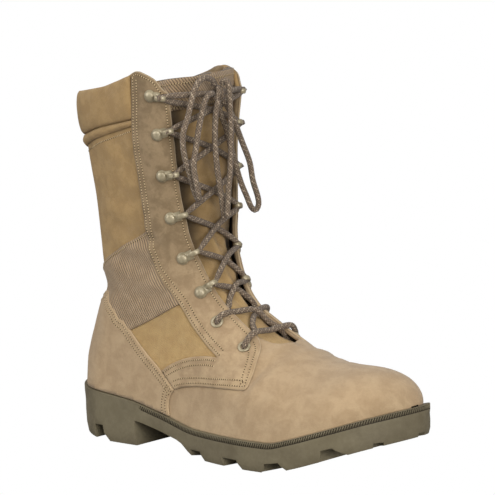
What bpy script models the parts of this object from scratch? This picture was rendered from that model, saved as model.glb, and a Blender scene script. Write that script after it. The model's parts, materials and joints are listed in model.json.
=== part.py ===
"""Jungle boot, right foot: toe toward +X, medial side toward +Y, heel centre on the ground at the origin.

The upper, tongue and insole follow one last, whose sections run as a fan from the toe tip, back along the
sole to the heel and then up the back of the shaft. A place on the last is a pair: row, the section's number
in LAST_ROWS, and across, from 0 at the sole edge or back seam to 1 at the top or front line.
"""
import math

import bmesh
import bpy
import numpy as np
from mathutils import Matrix, Vector

# Driving sizes, in metres
LENGTH = 0.3005             # outsole, heel to toe
BALL_WIDTH = 0.107          # outsole across the ball
HEEL_CENTRE = 0.0365        # from the back of the outsole to the origin
HEEL_ROUND = 0.0365         # radius of the outsole's heel in plan
TOE_ROUND = 0.047           # length over which the outsole's toe closes
FOREFOOT_THICKNESS = 0.0205
HEEL_LIFT = 0.0205          # heel seat above the forefoot's top edge
TOE_SPRING = 0.023
SOLE_MARGIN = 0.0032        # outsole edge that shows round the upper
INSTEP_RISE = 0.137         # front of the ankle above the sole's top edge
SHAFT_HEIGHT = 0.2294       # back line of the last above the heel seat
TOP_TILT = 0.004            # front line's end above the back line's end
SHAFT_WIDTH = 0.087
WALL = 0.0020               # upper: lining and shell together
OVERLAY = 0.0012            # suede laid over the shell
WEBBING = 0.0009
BAND_PUFF = 0.0042          # padded collar's crown
PIPING = 0.0030
TONGUE_WALL = 0.0030
TONGUE_CROWN = 0.0085       # tongue's rise between the facings
TONGUE_WING = 0.0080        # hidden under each facing
INSOLE_THICKNESS = 0.0035
INSOLE_PLAY = 0.0040        # from the insole's edge to the upper
GAP = 0.0003                # clearance between touching pieces
SEAT = 0.0008               # upper's edge above the outsole's top
LIFT = 0.0008               # clearance of sheets laid over the upper's curves
SLIDE = 0.0007              # clearance of soft pieces inside the upper
LUG_DEPTH = 0.0062
HEEL_BLOCK = 0.0750         # heel's length at the ground
BREAST_HEIGHT = 0.0185
HEEL_BEVEL = 0.0040         # lift of the heel's rear edge
HEEL_BEVEL_RUN = 0.0285
RIB_BAND = 0.0050           # ribbed strip along the outsole's top edge
RIB_PROUD = 0.0009
RIVET_RADIUS = 0.0036
RIVET_RISE = 0.0024
HOOK_PLATE = 0.0010
HOOK_PLATE_WIDTH = 0.0056
HOOK_REACH = 0.0098         # rivet to loop
LOOP_RADIUS = 0.0036
LOOP_WIRE = 0.0009
LOOP_FLATTEN = 0.72         # loop's height as a share of its length
EYELET_RADIUS = 0.0036
EYELET_WIRE = 0.0010
EYELET_HOLE = 0.0026
LACE = 0.0042               # diameter
TONGUE_ROOT = 0.0140        # tongue's half width under the vamp
TONGUE_FLAT = 0.7           # share of its half between the facings
TONGUE_FOOT = 6.7           # row of the tongue's lower end
TONGUE_TOP = 27.55          # row of its upper end, which rises toward the medial side
TONGUE_SLANT = 0.28

SOLE_BACK = -HEEL_CENTRE
SOLE_TIP = SOLE_BACK + LENGTH

# Outsole in plan: along as a share of LENGTH, half width and sideways shift as shares of BALL_WIDTH
PLAN = dict(zip(("along", "half", "shift"), zip(
    (0.000, 0.346, 0.000),
    (0.200, 0.350, -0.007),
    (0.270, 0.339, -0.017),
    (0.335, 0.332, -0.033),
    (0.400, 0.344, -0.049),
    (0.467, 0.377, -0.060),
    (0.534, 0.421, -0.058),
    (0.600, 0.462, -0.045),
    (0.667, 0.492, -0.028),
    (0.720, 0.500, -0.013),
    (0.770, 0.494, -0.001),
    (0.817, 0.474, 0.011),
    (0.867, 0.444, 0.026),
    (0.910, 0.424, 0.039),
    (0.950, 0.408, 0.056),
    (1.000, 0.360, 0.103),
)))

# Outsole from the side: along as a share of LENGTH, heel as a share of HEEL_LIFT, toe of TOE_SPRING
SIDE = dict(zip(("along", "heel", "toe"), zip(
    (0.000, 1.00, 0.000),
    (0.025, 0.93, 0.000),
    (0.135, 0.76, 0.000),
    (0.235, 0.61, 0.000),
    (0.300, 0.41, 0.000),
    (0.367, 0.22, 0.000),
    (0.434, 0.05, 0.000),
    (0.484, 0.00, 0.000),
    (0.720, 0.00, 0.000),
    (0.784, 0.00, 0.183),
    (0.850, 0.00, 0.443),
    (0.900, 0.00, 0.643),
    (0.950, 0.00, 0.840),
    (1.000, 0.00, 1.000),
)))

# Last's sections from toe tip to heel, standing on the sole's edge. foot and top are shares of LENGTH from
# the sole's back, rise is a share of INSTEP_RISE, side (half width near the top), round (top's rounding) and
# lean (top line's sideways place) are shares of BALL_WIDTH
FOOT_ROWS = (
    (0.9885, 0.9870, 0.025, 0.290, 0.070, 0.103),
    (0.9815, 0.9795, 0.062, 0.340, 0.130, 0.093),
    (0.9665, 0.9640, 0.117, 0.370, 0.180, 0.079),
    (0.9370, 0.9340, 0.180, 0.385, 0.230, 0.065),
    (0.8900, 0.8860, 0.243, 0.410, 0.280, 0.051),
    (0.8340, 0.8270, 0.304, 0.440, 0.335, 0.037),
    (0.7670, 0.7560, 0.366, 0.455, 0.390, 0.028),
    (0.6970, 0.6890, 0.423, 0.442, 0.420, 0.023),
    (0.6270, 0.6340, 0.465, 0.402, 0.430, 0.019),
    (0.5510, 0.5870, 0.518, 0.360, 0.410, 0.014),
    (0.4740, 0.5460, 0.584, 0.325, 0.390, 0.011),
    (0.3940, 0.5110, 0.653, 0.305, 0.374, 0.008),
    (0.3080, 0.4840, 0.730, 0.305, 0.374, 0.007),
    (0.2110, 0.4675, 0.810, 0.312, 0.392, 0.008),
    (0.1115, 0.4575, 0.885, 0.322, 0.405, 0.010),
    (0.0383, 0.4525, 0.950, 0.334, 0.415, 0.013),
    (0.0140, 0.4510, 1.000, 0.345, 0.420, 0.015),
)

# Sections that cross the back line above the heel. back and front are shares of LENGTH from the sole's back,
# low is a share of SHAFT_HEIGHT, high of the front line above the ankle, and heel (half width at the back),
# side and round are shares of SHAFT_WIDTH, lean of BALL_WIDTH
SHAFT_ROWS = (
    (0.0170, 0.4503, 0.076, 0.052, 0.386, 0.428, 0.530, 0.017),
    (0.0310, 0.4503, 0.146, 0.103, 0.380, 0.436, 0.530, 0.019),
    (0.0530, 0.4510, 0.233, 0.164, 0.374, 0.444, 0.528, 0.020),
    (0.0740, 0.4523, 0.320, 0.224, 0.376, 0.452, 0.525, 0.020),
    (0.0790, 0.4543, 0.407, 0.293, 0.392, 0.458, 0.520, 0.020),
    (0.0720, 0.4576, 0.494, 0.379, 0.416, 0.464, 0.515, 0.020),
    (0.0640, 0.4609, 0.582, 0.474, 0.436, 0.472, 0.510, 0.020),
    (0.0560, 0.4659, 0.669, 0.578, 0.452, 0.484, 0.510, 0.020),
    (0.0470, 0.4709, 0.756, 0.681, 0.468, 0.496, 0.510, 0.020),
    (0.0370, 0.4775, 0.843, 0.784, 0.484, 0.505, 0.510, 0.020),
    (0.0290, 0.4842, 0.926, 0.888, 0.496, 0.512, 0.510, 0.020),
    (0.0240, 0.4892, 1.000, 1.000, 0.502, 0.517, 0.510, 0.020),
)
HEEL_ROW = len(FOOT_ROWS) - 1
TOP_ROW = HEEL_ROW + len(SHAFT_ROWS)

# Rounding of the back, seen from above: level as a share of SHAFT_HEIGHT, radius of SHAFT_WIDTH
BACK_ROUNDING = dict(zip(("level", "radius"), zip(
    (0.00, 0.38), (0.13, 0.39), (0.26, 0.44), (0.39, 0.51), (0.57, 0.58), (0.74, 0.62), (1.00, 0.67))))

# Half of the throat's opening: row of the last, gap as a share of SHAFT_WIDTH
THROAT_ROW = 7.5
THROAT = dict(zip(("row", "gap"), zip(
    (7.50, 0.000), (7.75, 0.115), (8.25, 0.165), (9.00, 0.188), (10.6, 0.190), (12.8, 0.214), (15.2, 0.258),
    (19.6, 0.322), (21.8, 0.350), (23.7, 0.378), (25.0, 0.402), (26.7, 0.430), (28.0, 0.445))))

# Side outlines of what lies on the upper, as (row, across) places on the last
FACING_REAR = ((28.4, 0.640), (27.5, 0.628), (25.3, 0.607), (23.1, 0.595), (20.8, 0.612), (19.0, 0.640),
               (16.5, 0.705), (14.8, 0.722), (13.1, 0.713), (11.1, 0.682), (10.0, 0.645))
WING_TOP = ((10.45, 0.612), (10.9, 0.580), (11.5, 0.490), (12.0, 0.400), (12.3, 0.320))
WING_BOTTOM = ((11.4, 0.228), (11.1, 0.277), (9.44, 0.405), (7.96, 0.517), (7.66, 0.600), (7.70, 0.690),
               (7.80, 0.880), (7.80, 1.150))
TAB = ((26.6, 1.150), (26.6, 0.860), (26.9, 0.822), (27.45, 0.782), (27.77, 0.727), (27.93, 0.680),
       (27.90, 0.652), (27.75, 0.633))
COLLAR_LINE = ((27.2, -0.200), (27.2, 0.100), (27.3, 0.393), (27.5, 0.506), (27.72, 0.600))
BAND_BOTTOM = ((25.5, -0.150), (25.5, 0.157), (25.6, 0.361), (25.65, 0.598))
PIPING_TOP = ((25.45, -0.150), (25.45, 0.157), (25.55, 0.361), (25.6, 0.598))
PIPING_BOTTOM = ((25.0, -0.150), (25.05, 0.100), (25.20, 0.361), (25.33, 0.598))
COUNTER_EDGE = ((19.5, -0.200), (19.5, 0.020), (19.2, 0.173), (16.9, 0.385), (15.6, 0.430), (14.4, 0.435),
                (12.4, 0.297), (11.45, 0.200), (11.55, 0.104), (11.4, -0.100))
WEBBING_TOP = ((19.8, -0.200), (20.3, -0.100), (20.35, 0.191), (20.2, 0.416), (20.0, 0.602))
WEBBING_FRONT = ((19.0, 0.631), (16.5, 0.696), (14.8, 0.712), (13.3, 0.705))
WEBBING_BOTTOM = ((14.0, 0.551), (14.5, 0.452), (15.7, 0.441), (17.1, 0.397), (19.5, 0.180), (19.8, 0.020))

# Places of the hooks and eyelets: row, across
HOOK_PLACES = ((26.67, 0.757), (24.65, 0.782), (22.46, 0.790), (19.5, 0.832), (15.05, 0.885), (12.48, 0.878))
HOOK_LOOPS = ((26.52, 0.830), (24.72, 0.856), (22.30, 0.866), (19.1, 0.912), (14.75, 0.950), (12.30, 0.950))
EYELET_PLACES = ((10.76, 0.843), (8.89, 0.835))
INNER_ROWS = (11.25, 9.65)  # where strands come from under the facings, below the hooks and the eyelets
INNER_SHARE = 0.50          # their place across the tongue
LACE_CLEAR = 0.0006         # between lace and tongue
LACE_BULGE = 0.0020         # how far a strand arches forward
LACE_START = 0.0090         # from a loop's centre to the crossing's solid
TOP_START = 0.0170          # the same at the highest hook

# Free ends of the lace, as offsets in metres from the knot's centre
KNOT_ROW = 26.45
KNOT_FORWARD = 0.0100       # knot's centre in front of the tongue
KNOT_SIZE = (0.0050, 0.0056, 0.0052)
LOOP_LATERAL = ((0.0005, -0.0032, 0.0060), (0.0015, -0.0056, 0.0096), (0.0030, -0.0166, 0.0116),
                (0.0030, -0.0254, 0.0047), (0.0024, -0.0332, -0.0145), (0.0016, -0.0382, -0.0270),
                (0.0016, -0.0376, -0.0415), (0.0016, -0.0320, -0.0570), (0.0024, -0.0298, -0.0705),
                (0.0054, -0.0316, -0.0715), (0.0072, -0.0340, -0.0600), (0.0070, -0.0346, -0.0490),
                (0.0066, -0.0310, -0.0365), (0.0060, -0.0245, -0.0170), (0.0050, -0.0165, -0.0020),
                (0.0040, -0.0082, 0.0008))
LOOP_MEDIAL = ((0.0017, 0.0039, -0.0044), (0.0040, 0.0081, -0.0125), (0.0042, 0.0120, -0.0200),
               (0.0030, 0.0205, -0.0355), (0.0020, 0.0288, -0.0510), (0.0024, 0.0310, -0.0645),
               (0.0024, 0.0356, -0.0785), (0.0019, 0.0345, -0.0865), (0.0012, 0.0284, -0.0805),
               (-0.0006, 0.0214, -0.0650), (-0.0010, 0.0166, -0.0505), (-0.0006, 0.0132, -0.0415),
               (-0.0004, 0.0082, -0.0250), (-0.0008, 0.0036, -0.0140), (-0.0006, 0.0016, -0.0072))
END_LATERAL = ((0.0040, -0.0030, -0.0046), (0.0046, -0.0066, -0.0120), (0.0046, -0.0090, -0.0310),
               (0.0056, -0.0094, -0.0510), (0.0066, -0.0075, -0.0710), (0.0076, -0.0061, -0.0890))
END_MEDIAL = ((0.0030, 0.0020, 0.0064), (0.0060, 0.0030, 0.0086), (0.0086, 0.0032, 0.0010),
              (0.0090, 0.0034, -0.0100), (0.0094, 0.0026, -0.0270), (0.0104, -0.0007, -0.0515),
              (0.0120, -0.0056, -0.0690), (0.0126, -0.0086, -0.0865))

# Outsole's gaps between lugs on each side: start and end as shares of LENGTH from the sole's back
LUG_GAPS = ((0.468, 0.507), (0.594, 0.642), (0.712, 0.768), (0.850, 0.898))
TOE_GAP_ANGLES = (-38.0, 8.0, 46.0)     # degrees from +X about the toe's middle
TOE_MIDDLE = 0.845                      # share of LENGTH
LUG_REACH = 0.030                       # how far a gap runs in from the edge
GAP_SLANT = 14.0                        # degrees
HEEL_NOTCH = (0.082, 0.108)

SUEDE = (0.45, 0.33, 0.20)
CANVAS = (0.40, 0.28, 0.13)
WEAVE = (0.33, 0.24, 0.15)
RUBBER = (0.16, 0.13, 0.08)
METAL = (0.38, 0.33, 0.24)
CORD = (0.16, 0.12, 0.09)


def curve_value(places, values, x):
    """Value at x of a smooth curve through a table's rows that never overshoots them."""
    xs = np.asarray(places, float)
    ys = np.asarray(values, float)
    steps = np.diff(xs)
    slopes = np.diff(ys) / steps
    tangents = np.zeros_like(ys)
    tangents[0] = slopes[0]
    tangents[-1] = slopes[-1]
    for i in range(1, len(xs) - 1):
        if slopes[i - 1] * slopes[i] > 0.0:
            before = 2.0 * steps[i] + steps[i - 1]
            after = steps[i] + 2.0 * steps[i - 1]
            tangents[i] = (before + after) / (before / slopes[i - 1] + after / slopes[i])
    x = min(max(x, xs[0]), xs[-1])
    k = min(int(np.searchsorted(xs, x, side="right")) - 1, len(xs) - 2)
    t = (x - xs[k]) / steps[k]
    start = (1 + 2 * t) * (1 - t) ** 2 * ys[k] + t * (1 - t) ** 2 * steps[k] * tangents[k]
    end = t * t * (3 - 2 * t) * ys[k + 1] + t * t * (t - 1) * steps[k] * tangents[k + 1]
    return float(start + end)


def rounding(share):
    """Quarter of a circle: 0 at the edge, 1 from a full radius inward."""
    share = min(max(share, 0.0), 1.0)
    return math.sqrt(1.0 - (1.0 - share) ** 2)


def along(x):
    return (x - SOLE_BACK) / LENGTH


def at_share(share):
    return SOLE_BACK + share * LENGTH


def sole_top(x):
    heel = curve_value(SIDE["along"], SIDE["heel"], along(x))
    toe = curve_value(SIDE["along"], SIDE["toe"], along(x))
    return FOREFOOT_THICKNESS + HEEL_LIFT * heel + TOE_SPRING * toe


def sole_bottom(x):
    return TOE_SPRING * curve_value(SIDE["along"], SIDE["toe"], along(x))


def sole_shift(x):
    return BALL_WIDTH * curve_value(PLAN["along"], PLAN["shift"], along(x))


def sole_half(x):
    return BALL_WIDTH * curve_value(PLAN["along"], PLAN["half"], along(x))


def outline_half(x, inset):
    """Half width of the outsole's outline at x, drawn in by inset all round."""
    heel = rounding((x - SOLE_BACK - inset) / (HEEL_ROUND - inset))
    toe = rounding((SOLE_TIP - inset - x) / (TOE_ROUND - inset))
    return (sole_half(x) - inset) * heel * toe


def ankle_front():
    """Height of the front line where the shaft's sections begin."""
    return sole_top(at_share(FOOT_ROWS[-1][1])) + INSTEP_RISE


def heel_seat():
    return sole_top(at_share(FOOT_ROWS[-1][0])) + SEAT


def last_columns():
    """Columns of the whole last in metres, one value for each row."""
    names = ("low_x", "low_z", "high_x", "high_z", "low_half", "high_half", "top_round", "low_shift", "lean")
    columns = {name: [] for name in names}
    for foot, top, rise, side, top_round, lean in FOOT_ROWS:
        low_x = at_share(foot)
        high_x = at_share(top)
        values = (low_x, sole_top(low_x) + SEAT, high_x, sole_top(high_x) + rise * INSTEP_RISE,
                  sole_half(low_x) - SOLE_MARGIN, side * BALL_WIDTH, top_round * BALL_WIDTH,
                  sole_shift(low_x), lean * BALL_WIDTH)
        for name, value in zip(names, values):
            columns[name].append(value)
    front_height = heel_seat() + SHAFT_HEIGHT + TOP_TILT - ankle_front()
    for back, front, low, high, heel, side, top_round, lean in SHAFT_ROWS:
        values = (at_share(back), heel_seat() + low * SHAFT_HEIGHT, at_share(front),
                  ankle_front() + high * front_height, heel * SHAFT_WIDTH, side * SHAFT_WIDTH,
                  top_round * SHAFT_WIDTH, 0.0, lean * BALL_WIDTH)
        for name, value in zip(names, values):
            columns[name].append(value)
    return columns


COLUMNS = last_columns()
ROW_NUMBERS = tuple(range(TOP_ROW + 1))
BACK_LEVELS = COLUMNS["low_z"][HEEL_ROW:]
BACK_PLACES = COLUMNS["low_x"][HEEL_ROW:]


def row_values(row):
    """Every column's value at a row, which may lie between two sections."""
    values = {name: curve_value(ROW_NUMBERS, column, row) for name, column in COLUMNS.items()}
    if row <= HEEL_ROW:
        values["low_z"] = sole_top(values["low_x"]) + SEAT
        values["low_half"] = sole_half(values["low_x"]) - SOLE_MARGIN
        values["low_shift"] = sole_shift(values["low_x"])
    else:
        values["low_x"] = curve_value(BACK_LEVELS, BACK_PLACES, values["low_z"])
    return values


def side_view(row, across):
    """Place in the side view, x and z, also beyond the last's surface."""
    values = row_values(row)
    x = values["low_x"] + (values["high_x"] - values["low_x"]) * across
    z = values["low_z"] + (values["high_z"] - values["low_z"]) * across
    return x, z


def section_place(values, across, inset):
    """Place in the side view of a share of a section; near the toe tip an inset section moves back."""
    x = values["low_x"] + (values["high_x"] - values["low_x"]) * across
    z = values["low_z"] + (values["high_z"] - values["low_z"]) * across
    return x - inset * max(0.0, (x - SOLE_TIP) / TOE_ROUND + 1.0), z


def half_width(values, across, inset):
    """Half width of a section at a share of its height, drawn in by inset."""
    length = math.hypot(values["high_x"] - values["low_x"], values["high_z"] - values["low_z"])
    x, z = section_place(values, across, inset)
    wide = values["low_half"] + (values["high_half"] - values["low_half"]) * across - inset
    top_radius = max(min(values["top_round"], 0.95 * length) - inset, 0.3 * length)
    level = (z - heel_seat()) / SHAFT_HEIGHT
    back_radius = SHAFT_WIDTH * curve_value(BACK_ROUNDING["level"], BACK_ROUNDING["radius"], level) - inset
    back = rounding((x - curve_value(BACK_LEVELS, BACK_PLACES, z) - inset) / back_radius)
    toe = rounding((SOLE_TIP - SOLE_MARGIN - inset - x) / (TOE_ROUND - SOLE_MARGIN - inset))
    top = rounding(((1.0 - across) * length - inset) / top_radius)
    return max(wide, 0.0) * top * back * toe


def last_point(row, across, side, inset=0.0):
    """Point of the last: side is -1 on the lateral side and 1 on the medial side."""
    values = row_values(row)
    x, z = section_place(values, across, inset)
    middle = values["low_shift"] + (values["lean"] - values["low_shift"]) * across
    return Vector((x, middle + side * half_width(values, across, inset), z))


def last_normal(row, across, side):
    """Outward direction of the last's surface; on the back seam and top line it has no sideways part."""
    step = 0.01
    start, end = across_limits(row, 0.0)
    by_row = last_point(min(row + step, TOP_ROW), across, side) - last_point(max(row - step, 0.0), across, side)
    low, high = max(across - step, start), min(across + step, end)
    by_across = last_point(row, high, side) - last_point(row, low, side)
    on_seam = half_width(row_values(row), across, 0.0) < 1e-6
    if on_seam:
        by_row.y = 0.0
        by_across = Vector((0.0, 1.0, 0.0))
    normal = by_row.cross(by_across).normalized()
    if on_seam:
        forward = 1.0 if across > 0.5 else -1.0
        values = row_values(row)
        outward = Vector((values["high_x"] - values["low_x"], 0.0, values["high_z"] - values["low_z"]))
        return normal if normal.dot(outward) * forward > 0.0 else -normal
    return normal if normal.y * side > 0.0 else -normal


def across_limits(row, inset):
    """Shares of a section where its inset outline starts and ends."""
    values = row_values(row)
    length = math.hypot(values["high_x"] - values["low_x"], values["high_z"] - values["low_z"])
    start = inset / length if row >= HEEL_ROW else 0.0
    return start, 1.0 - inset / length


def across_at_half(row, half, inset=0.0):
    """Share of the section, on its upper part, where the half width falls to the given value."""
    values = row_values(row)
    low, high = 0.55, across_limits(row, inset)[1]
    for _ in range(40):
        middle = 0.5 * (low + high)
        if half_width(values, middle, inset) > half:
            low = middle
        else:
            high = middle
    return 0.5 * (low + high)


def throat_gap(row):
    return SHAFT_WIDTH * curve_value(THROAT["row"], THROAT["gap"], row)


def throat_across(row, inset=0.0):
    """Share of the section where the facings' edge lies."""
    if row <= THROAT_ROW:
        return across_limits(row, inset)[1]
    return across_at_half(row, throat_gap(row), inset)


def spread(count):
    """Shares from 0 to 1, closer together at both ends."""
    return [(1.0 - math.cos(math.pi * i / count)) / 2.0 for i in range(count + 1)]


# Sections that the solids are built on, closer where the shape turns
SOLID_ROWS = ([0.0, 0.5, 1.1, 1.8, 2.6, 3.6, 4.8, 6.0, 6.8, THROAT_ROW]
              + [7.6, 7.8, 8.15, 8.6] + [9.4 + 0.92 * i for i in range(7)] + [HEEL_ROW - 0.5, HEEL_ROW]
              + [HEEL_ROW + 0.6, HEEL_ROW + 1.4, HEEL_ROW + 2.5, HEEL_ROW + 3.8, HEEL_ROW + 5.1]
              + [HEEL_ROW + 6.5, HEEL_ROW + 8.2, HEEL_ROW + 10.1, TOP_ROW])
SOLID_ACROSS = spread(9)


def last_rings(inset, rows):
    """Points of the last for each row, from the lateral edge over the top to the medial edge."""
    rings = []
    for row in rows:
        start, _ = across_limits(row, inset)
        end = throat_across(row, inset)
        shares = [start + (end - start) * share for share in SOLID_ACROSS]
        lateral = [last_point(row, across, -1, inset) for across in shares]
        medial = [last_point(row, across, 1, inset) for across in shares]
        seams = [0] * (row >= HEEL_ROW) + [-1] * (row <= THROAT_ROW)
        for seam in seams:
            lateral[seam].y = 0.5 * (lateral[seam].y + medial[seam].y)
            medial[seam].y = lateral[seam].y
        rings.append(lateral + medial[::-1])
    return rings


def add_sheet(mesh, rings):
    """Quads between neighbouring rings of equal length."""
    vertices = [[mesh.verts.new(point) for point in ring] for ring in rings]
    for lower, upper in zip(vertices, vertices[1:]):
        for j in range(len(lower) - 1):
            mesh.faces.new((lower[j], upper[j], upper[j + 1], lower[j + 1]))
    return vertices


def close_sheets(mesh, outer, inner, edges):
    """Rim faces between two sheets; edges names the sides of the grid that get one."""
    last = len(outer[0]) - 1
    if "first" in edges:
        for j in range(last):
            mesh.faces.new((outer[0][j], outer[0][j + 1], inner[0][j + 1], inner[0][j]))
    if "final" in edges:
        for j in range(last):
            mesh.faces.new((outer[-1][j], outer[-1][j + 1], inner[-1][j + 1], inner[-1][j]))
    for name, j in (("start", 0), ("end", last)):
        if name in edges:
            for i in range(len(outer) - 1):
                mesh.faces.new((outer[i][j], outer[i + 1][j], inner[i + 1][j], inner[i][j]))


def finish_solid(mesh, name, collection, material):
    """Weld a hand-made closed mesh, turn its faces outward and make it an object."""
    bmesh.ops.remove_doubles(mesh, verts=mesh.verts, dist=0.00002)
    bmesh.ops.dissolve_degenerate(mesh, edges=mesh.edges, dist=0.00001)
    bmesh.ops.recalc_face_normals(mesh, faces=mesh.faces)
    return object_from(mesh, name, collection, material)


def collection_named(name):
    collection = bpy.data.collections.new(name)
    bpy.context.scene.collection.children.link(collection)
    return collection


def material_named(name, colour, roughness, metallic=0.0):
    material = bpy.data.materials.new(name)
    material.use_nodes = True
    shader = material.node_tree.nodes["Principled BSDF"]
    shader.inputs["Base Color"].default_value = (*colour, 1.0)
    shader.inputs["Roughness"].default_value = roughness
    shader.inputs["Metallic"].default_value = metallic
    return material


def object_from(mesh, name, collection, material=None):
    """Turn a bmesh into a named object in a collection."""
    data = bpy.data.meshes.new(name)
    mesh.to_mesh(data)
    mesh.free()
    item = bpy.data.objects.new(name, data)
    collection.objects.link(item)
    if material:
        data.materials.append(material)
    return item


def cut(item, cutter, operation="DIFFERENCE"):
    modifier = item.modifiers.new(cutter.name, "BOOLEAN")
    modifier.object = cutter
    modifier.operation = operation
    modifier.solver = "EXACT"


def as_cutter(item):
    item.hide_render = True
    item.display_type = "WIRE"
    return item


def prism(name, corners, low_y, high_y, collection):
    """Cutter with a side-view outline, from one y to another."""
    mesh = bmesh.new()
    lower = [mesh.verts.new((x, low_y, z)) for x, z in corners]
    face = mesh.faces.new(lower)
    grown = bmesh.ops.extrude_face_region(mesh, geom=[face])["geom"]
    moved = [part for part in grown if isinstance(part, bmesh.types.BMVert)]
    bmesh.ops.translate(mesh, verts=moved, vec=(0.0, high_y - low_y, 0.0))
    bmesh.ops.recalc_face_normals(mesh, faces=mesh.faces)
    return as_cutter(object_from(mesh, name, collection))


def box_cutter(name, size, matrix, collection):
    mesh = bmesh.new()
    bmesh.ops.create_cube(mesh, size=1.0, matrix=matrix @ Matrix.Diagonal((*size, 1.0)))
    return as_cutter(object_from(mesh, name, collection))


def outline_from(places):
    return [side_view(row, across) for row, across in places]


# Outsole


def sole_stations():
    """Places along the outsole, closer together at its round ends."""
    heel = [SOLE_BACK + HEEL_ROUND * (1.0 - math.cos(math.pi * i / 16)) for i in range(1, 8)]
    toe = [SOLE_TIP - TOE_ROUND * (1.0 - math.cos(math.pi * i / 16)) for i in range(1, 8)]
    middle = np.linspace(heel[-1], toe[-1], 17)[1:-1]
    return heel + list(middle) + toe[::-1]


def plan_loop(inset):
    """Outline of the outsole in plan, anticlockwise from the heel's back."""
    stations = [SOLE_BACK + inset + (x - SOLE_BACK) * (LENGTH - 2.0 * inset) / LENGTH for x in sole_stations()]
    medial = [(x, sole_shift(x) + outline_half(x, inset)) for x in stations]
    lateral = [(x, sole_shift(x) - outline_half(x, inset)) for x in stations]
    back = (SOLE_BACK + inset, sole_shift(SOLE_BACK))
    tip = (SOLE_TIP - inset, sole_shift(SOLE_TIP))
    return [back] + lateral + [tip] + medial[::-1]


def add_plan_solid(mesh, levels):
    """Closed body from plan loops at rising levels: each level is an inset and a height function."""
    loops = []
    for inset, height in levels:
        loops.append([mesh.verts.new((x, y, height(x))) for x, y in plan_loop(inset)])
    count = len(loops[0])
    half = count // 2
    for lower, upper in zip(loops, loops[1:]):
        for i in range(count):
            mesh.faces.new((lower[i], lower[(i + 1) % count], upper[(i + 1) % count], upper[i]))
    for loop, up in ((loops[0], False), (loops[-1], True)):
        for i in range(half):
            corners = [loop[i], loop[i + 1], loop[-i - 1], loop[-i]] if i else [loop[0], loop[1], loop[-1]]
            if i == half - 1:
                corners = [loop[i], loop[i + 1], loop[-i]]
            mesh.faces.new(corners if up else corners[::-1])


def heel_bottom(x):
    """Ground side of the uncut outsole: a rear bevel, flat, then the toe spring."""
    bevel = max(0.0, 1.0 - (x - SOLE_BACK) / HEEL_BEVEL_RUN)
    return HEEL_BEVEL * bevel ** 1.3 + sole_bottom(x)


def rib_cutters(collection):
    """Gap bars that run in from both edges between the lugs."""
    cutters = []
    for index, (start, end) in enumerate(LUG_GAPS):
        middle = at_share(0.5 * (start + end))
        width = (end - start) * LENGTH
        for side in (-1, 1):
            edge = sole_shift(middle) + side * sole_half(middle)
            centre = Vector((middle, edge - side * 0.45 * LUG_REACH, sole_bottom(middle)))
            slope = math.atan2(sole_bottom(middle + 0.01) - sole_bottom(middle - 0.01), 0.02)
            turn = Matrix.Rotation(math.radians(side * GAP_SLANT), 4, "Z") @ Matrix.Rotation(-slope, 4, "Y")
            size = (width, LUG_REACH, 2.0 * LUG_DEPTH)
            name = "gap_%d_%s" % (index + 1, "medial" if side > 0 else "lateral")
            cutters.append(box_cutter(name, size, Matrix.Translation(centre) @ turn, collection))
    middle = at_share(TOE_MIDDLE)
    hub = Vector((middle, sole_shift(at_share(0.95)), 0.0))
    for index, angle in enumerate(TOE_GAP_ANGLES):
        turn = math.radians(angle)
        ahead = Vector((math.cos(turn), math.sin(turn), 0.0))
        place = hub + ahead * (SOLE_TIP - middle) * 0.93
        centre = Vector((place.x, place.y, sole_bottom(place.x) - 0.1 * LUG_DEPTH))
        size = (1.1 * TOE_ROUND * 0.45, 0.0075, 1.1 * LUG_DEPTH)
        matrix = Matrix.Translation(centre) @ Matrix.Rotation(turn, 4, "Z")
        cutters.append(box_cutter("toe_gap_%d" % (index + 1), size, matrix, collection))
    return cutters


def make_outsole(collection, tools, material):
    """Outsole with ribbed top edge, arch, heel breast, toe spring and lugs."""
    mesh = bmesh.new()
    levels = (
        (0.0016, heel_bottom),
        (0.0004, lambda x: heel_bottom(x) + 0.35 * (sole_top(x) - heel_bottom(x))),
        (RIB_PROUD, lambda x: sole_top(x) - RIB_BAND),
        (0.0, lambda x: sole_top(x) - RIB_BAND + 0.0004),
        (0.0, lambda x: sole_top(x) - 0.0008),
        (RIB_PROUD, sole_top),
    )
    add_plan_solid(mesh, levels)
    sole = object_from(mesh, "outsole", collection, material)
    breast = at_share(HEEL_BLOCK / LENGTH)
    arch_end = at_share(0.4)
    lug_start = at_share(LUG_GAPS[0][0])
    deep = -0.01
    arch = [(breast, deep), (breast - 0.0012, BREAST_HEIGHT), (breast + 0.006, BREAST_HEIGHT - 0.0008),
            (arch_end, 0.55 * BREAST_HEIGHT), (arch_end + 0.006, 0.45 * BREAST_HEIGHT), (lug_start, 0.0),
            (lug_start + 0.004, deep)]
    cut(sole, prism("arch_cutter", arch, -BALL_WIDTH, BALL_WIDTH, tools))
    for cutter in rib_cutters(tools):
        cut(sole, cutter)
    notch = [(at_share(HEEL_NOTCH[0]), deep), (at_share(HEEL_NOTCH[0]), 1.9 * LUG_DEPTH),
             (at_share(HEEL_NOTCH[1]), 1.9 * LUG_DEPTH), (at_share(HEEL_NOTCH[1]), deep)]
    for side in (-1, 1):
        inner = side * 0.014
        outer = side * BALL_WIDTH
        cut(sole, prism("heel_notch_%d" % (side + 2), notch, min(inner, outer), max(inner, outer), tools))
    return sole


def make_insole(collection, material):
    """Board inside the upper, resting on the outsole."""
    mesh = bmesh.new()
    inset = SOLE_MARGIN + WALL + INSOLE_PLAY
    add_plan_solid(mesh, ((inset, lambda x: sole_top(x) + GAP),
                          (inset, lambda x: sole_top(x) + GAP + INSOLE_THICKNESS)))
    return object_from(mesh, "insole", collection, material)


# Upper and what lies on it


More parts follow.
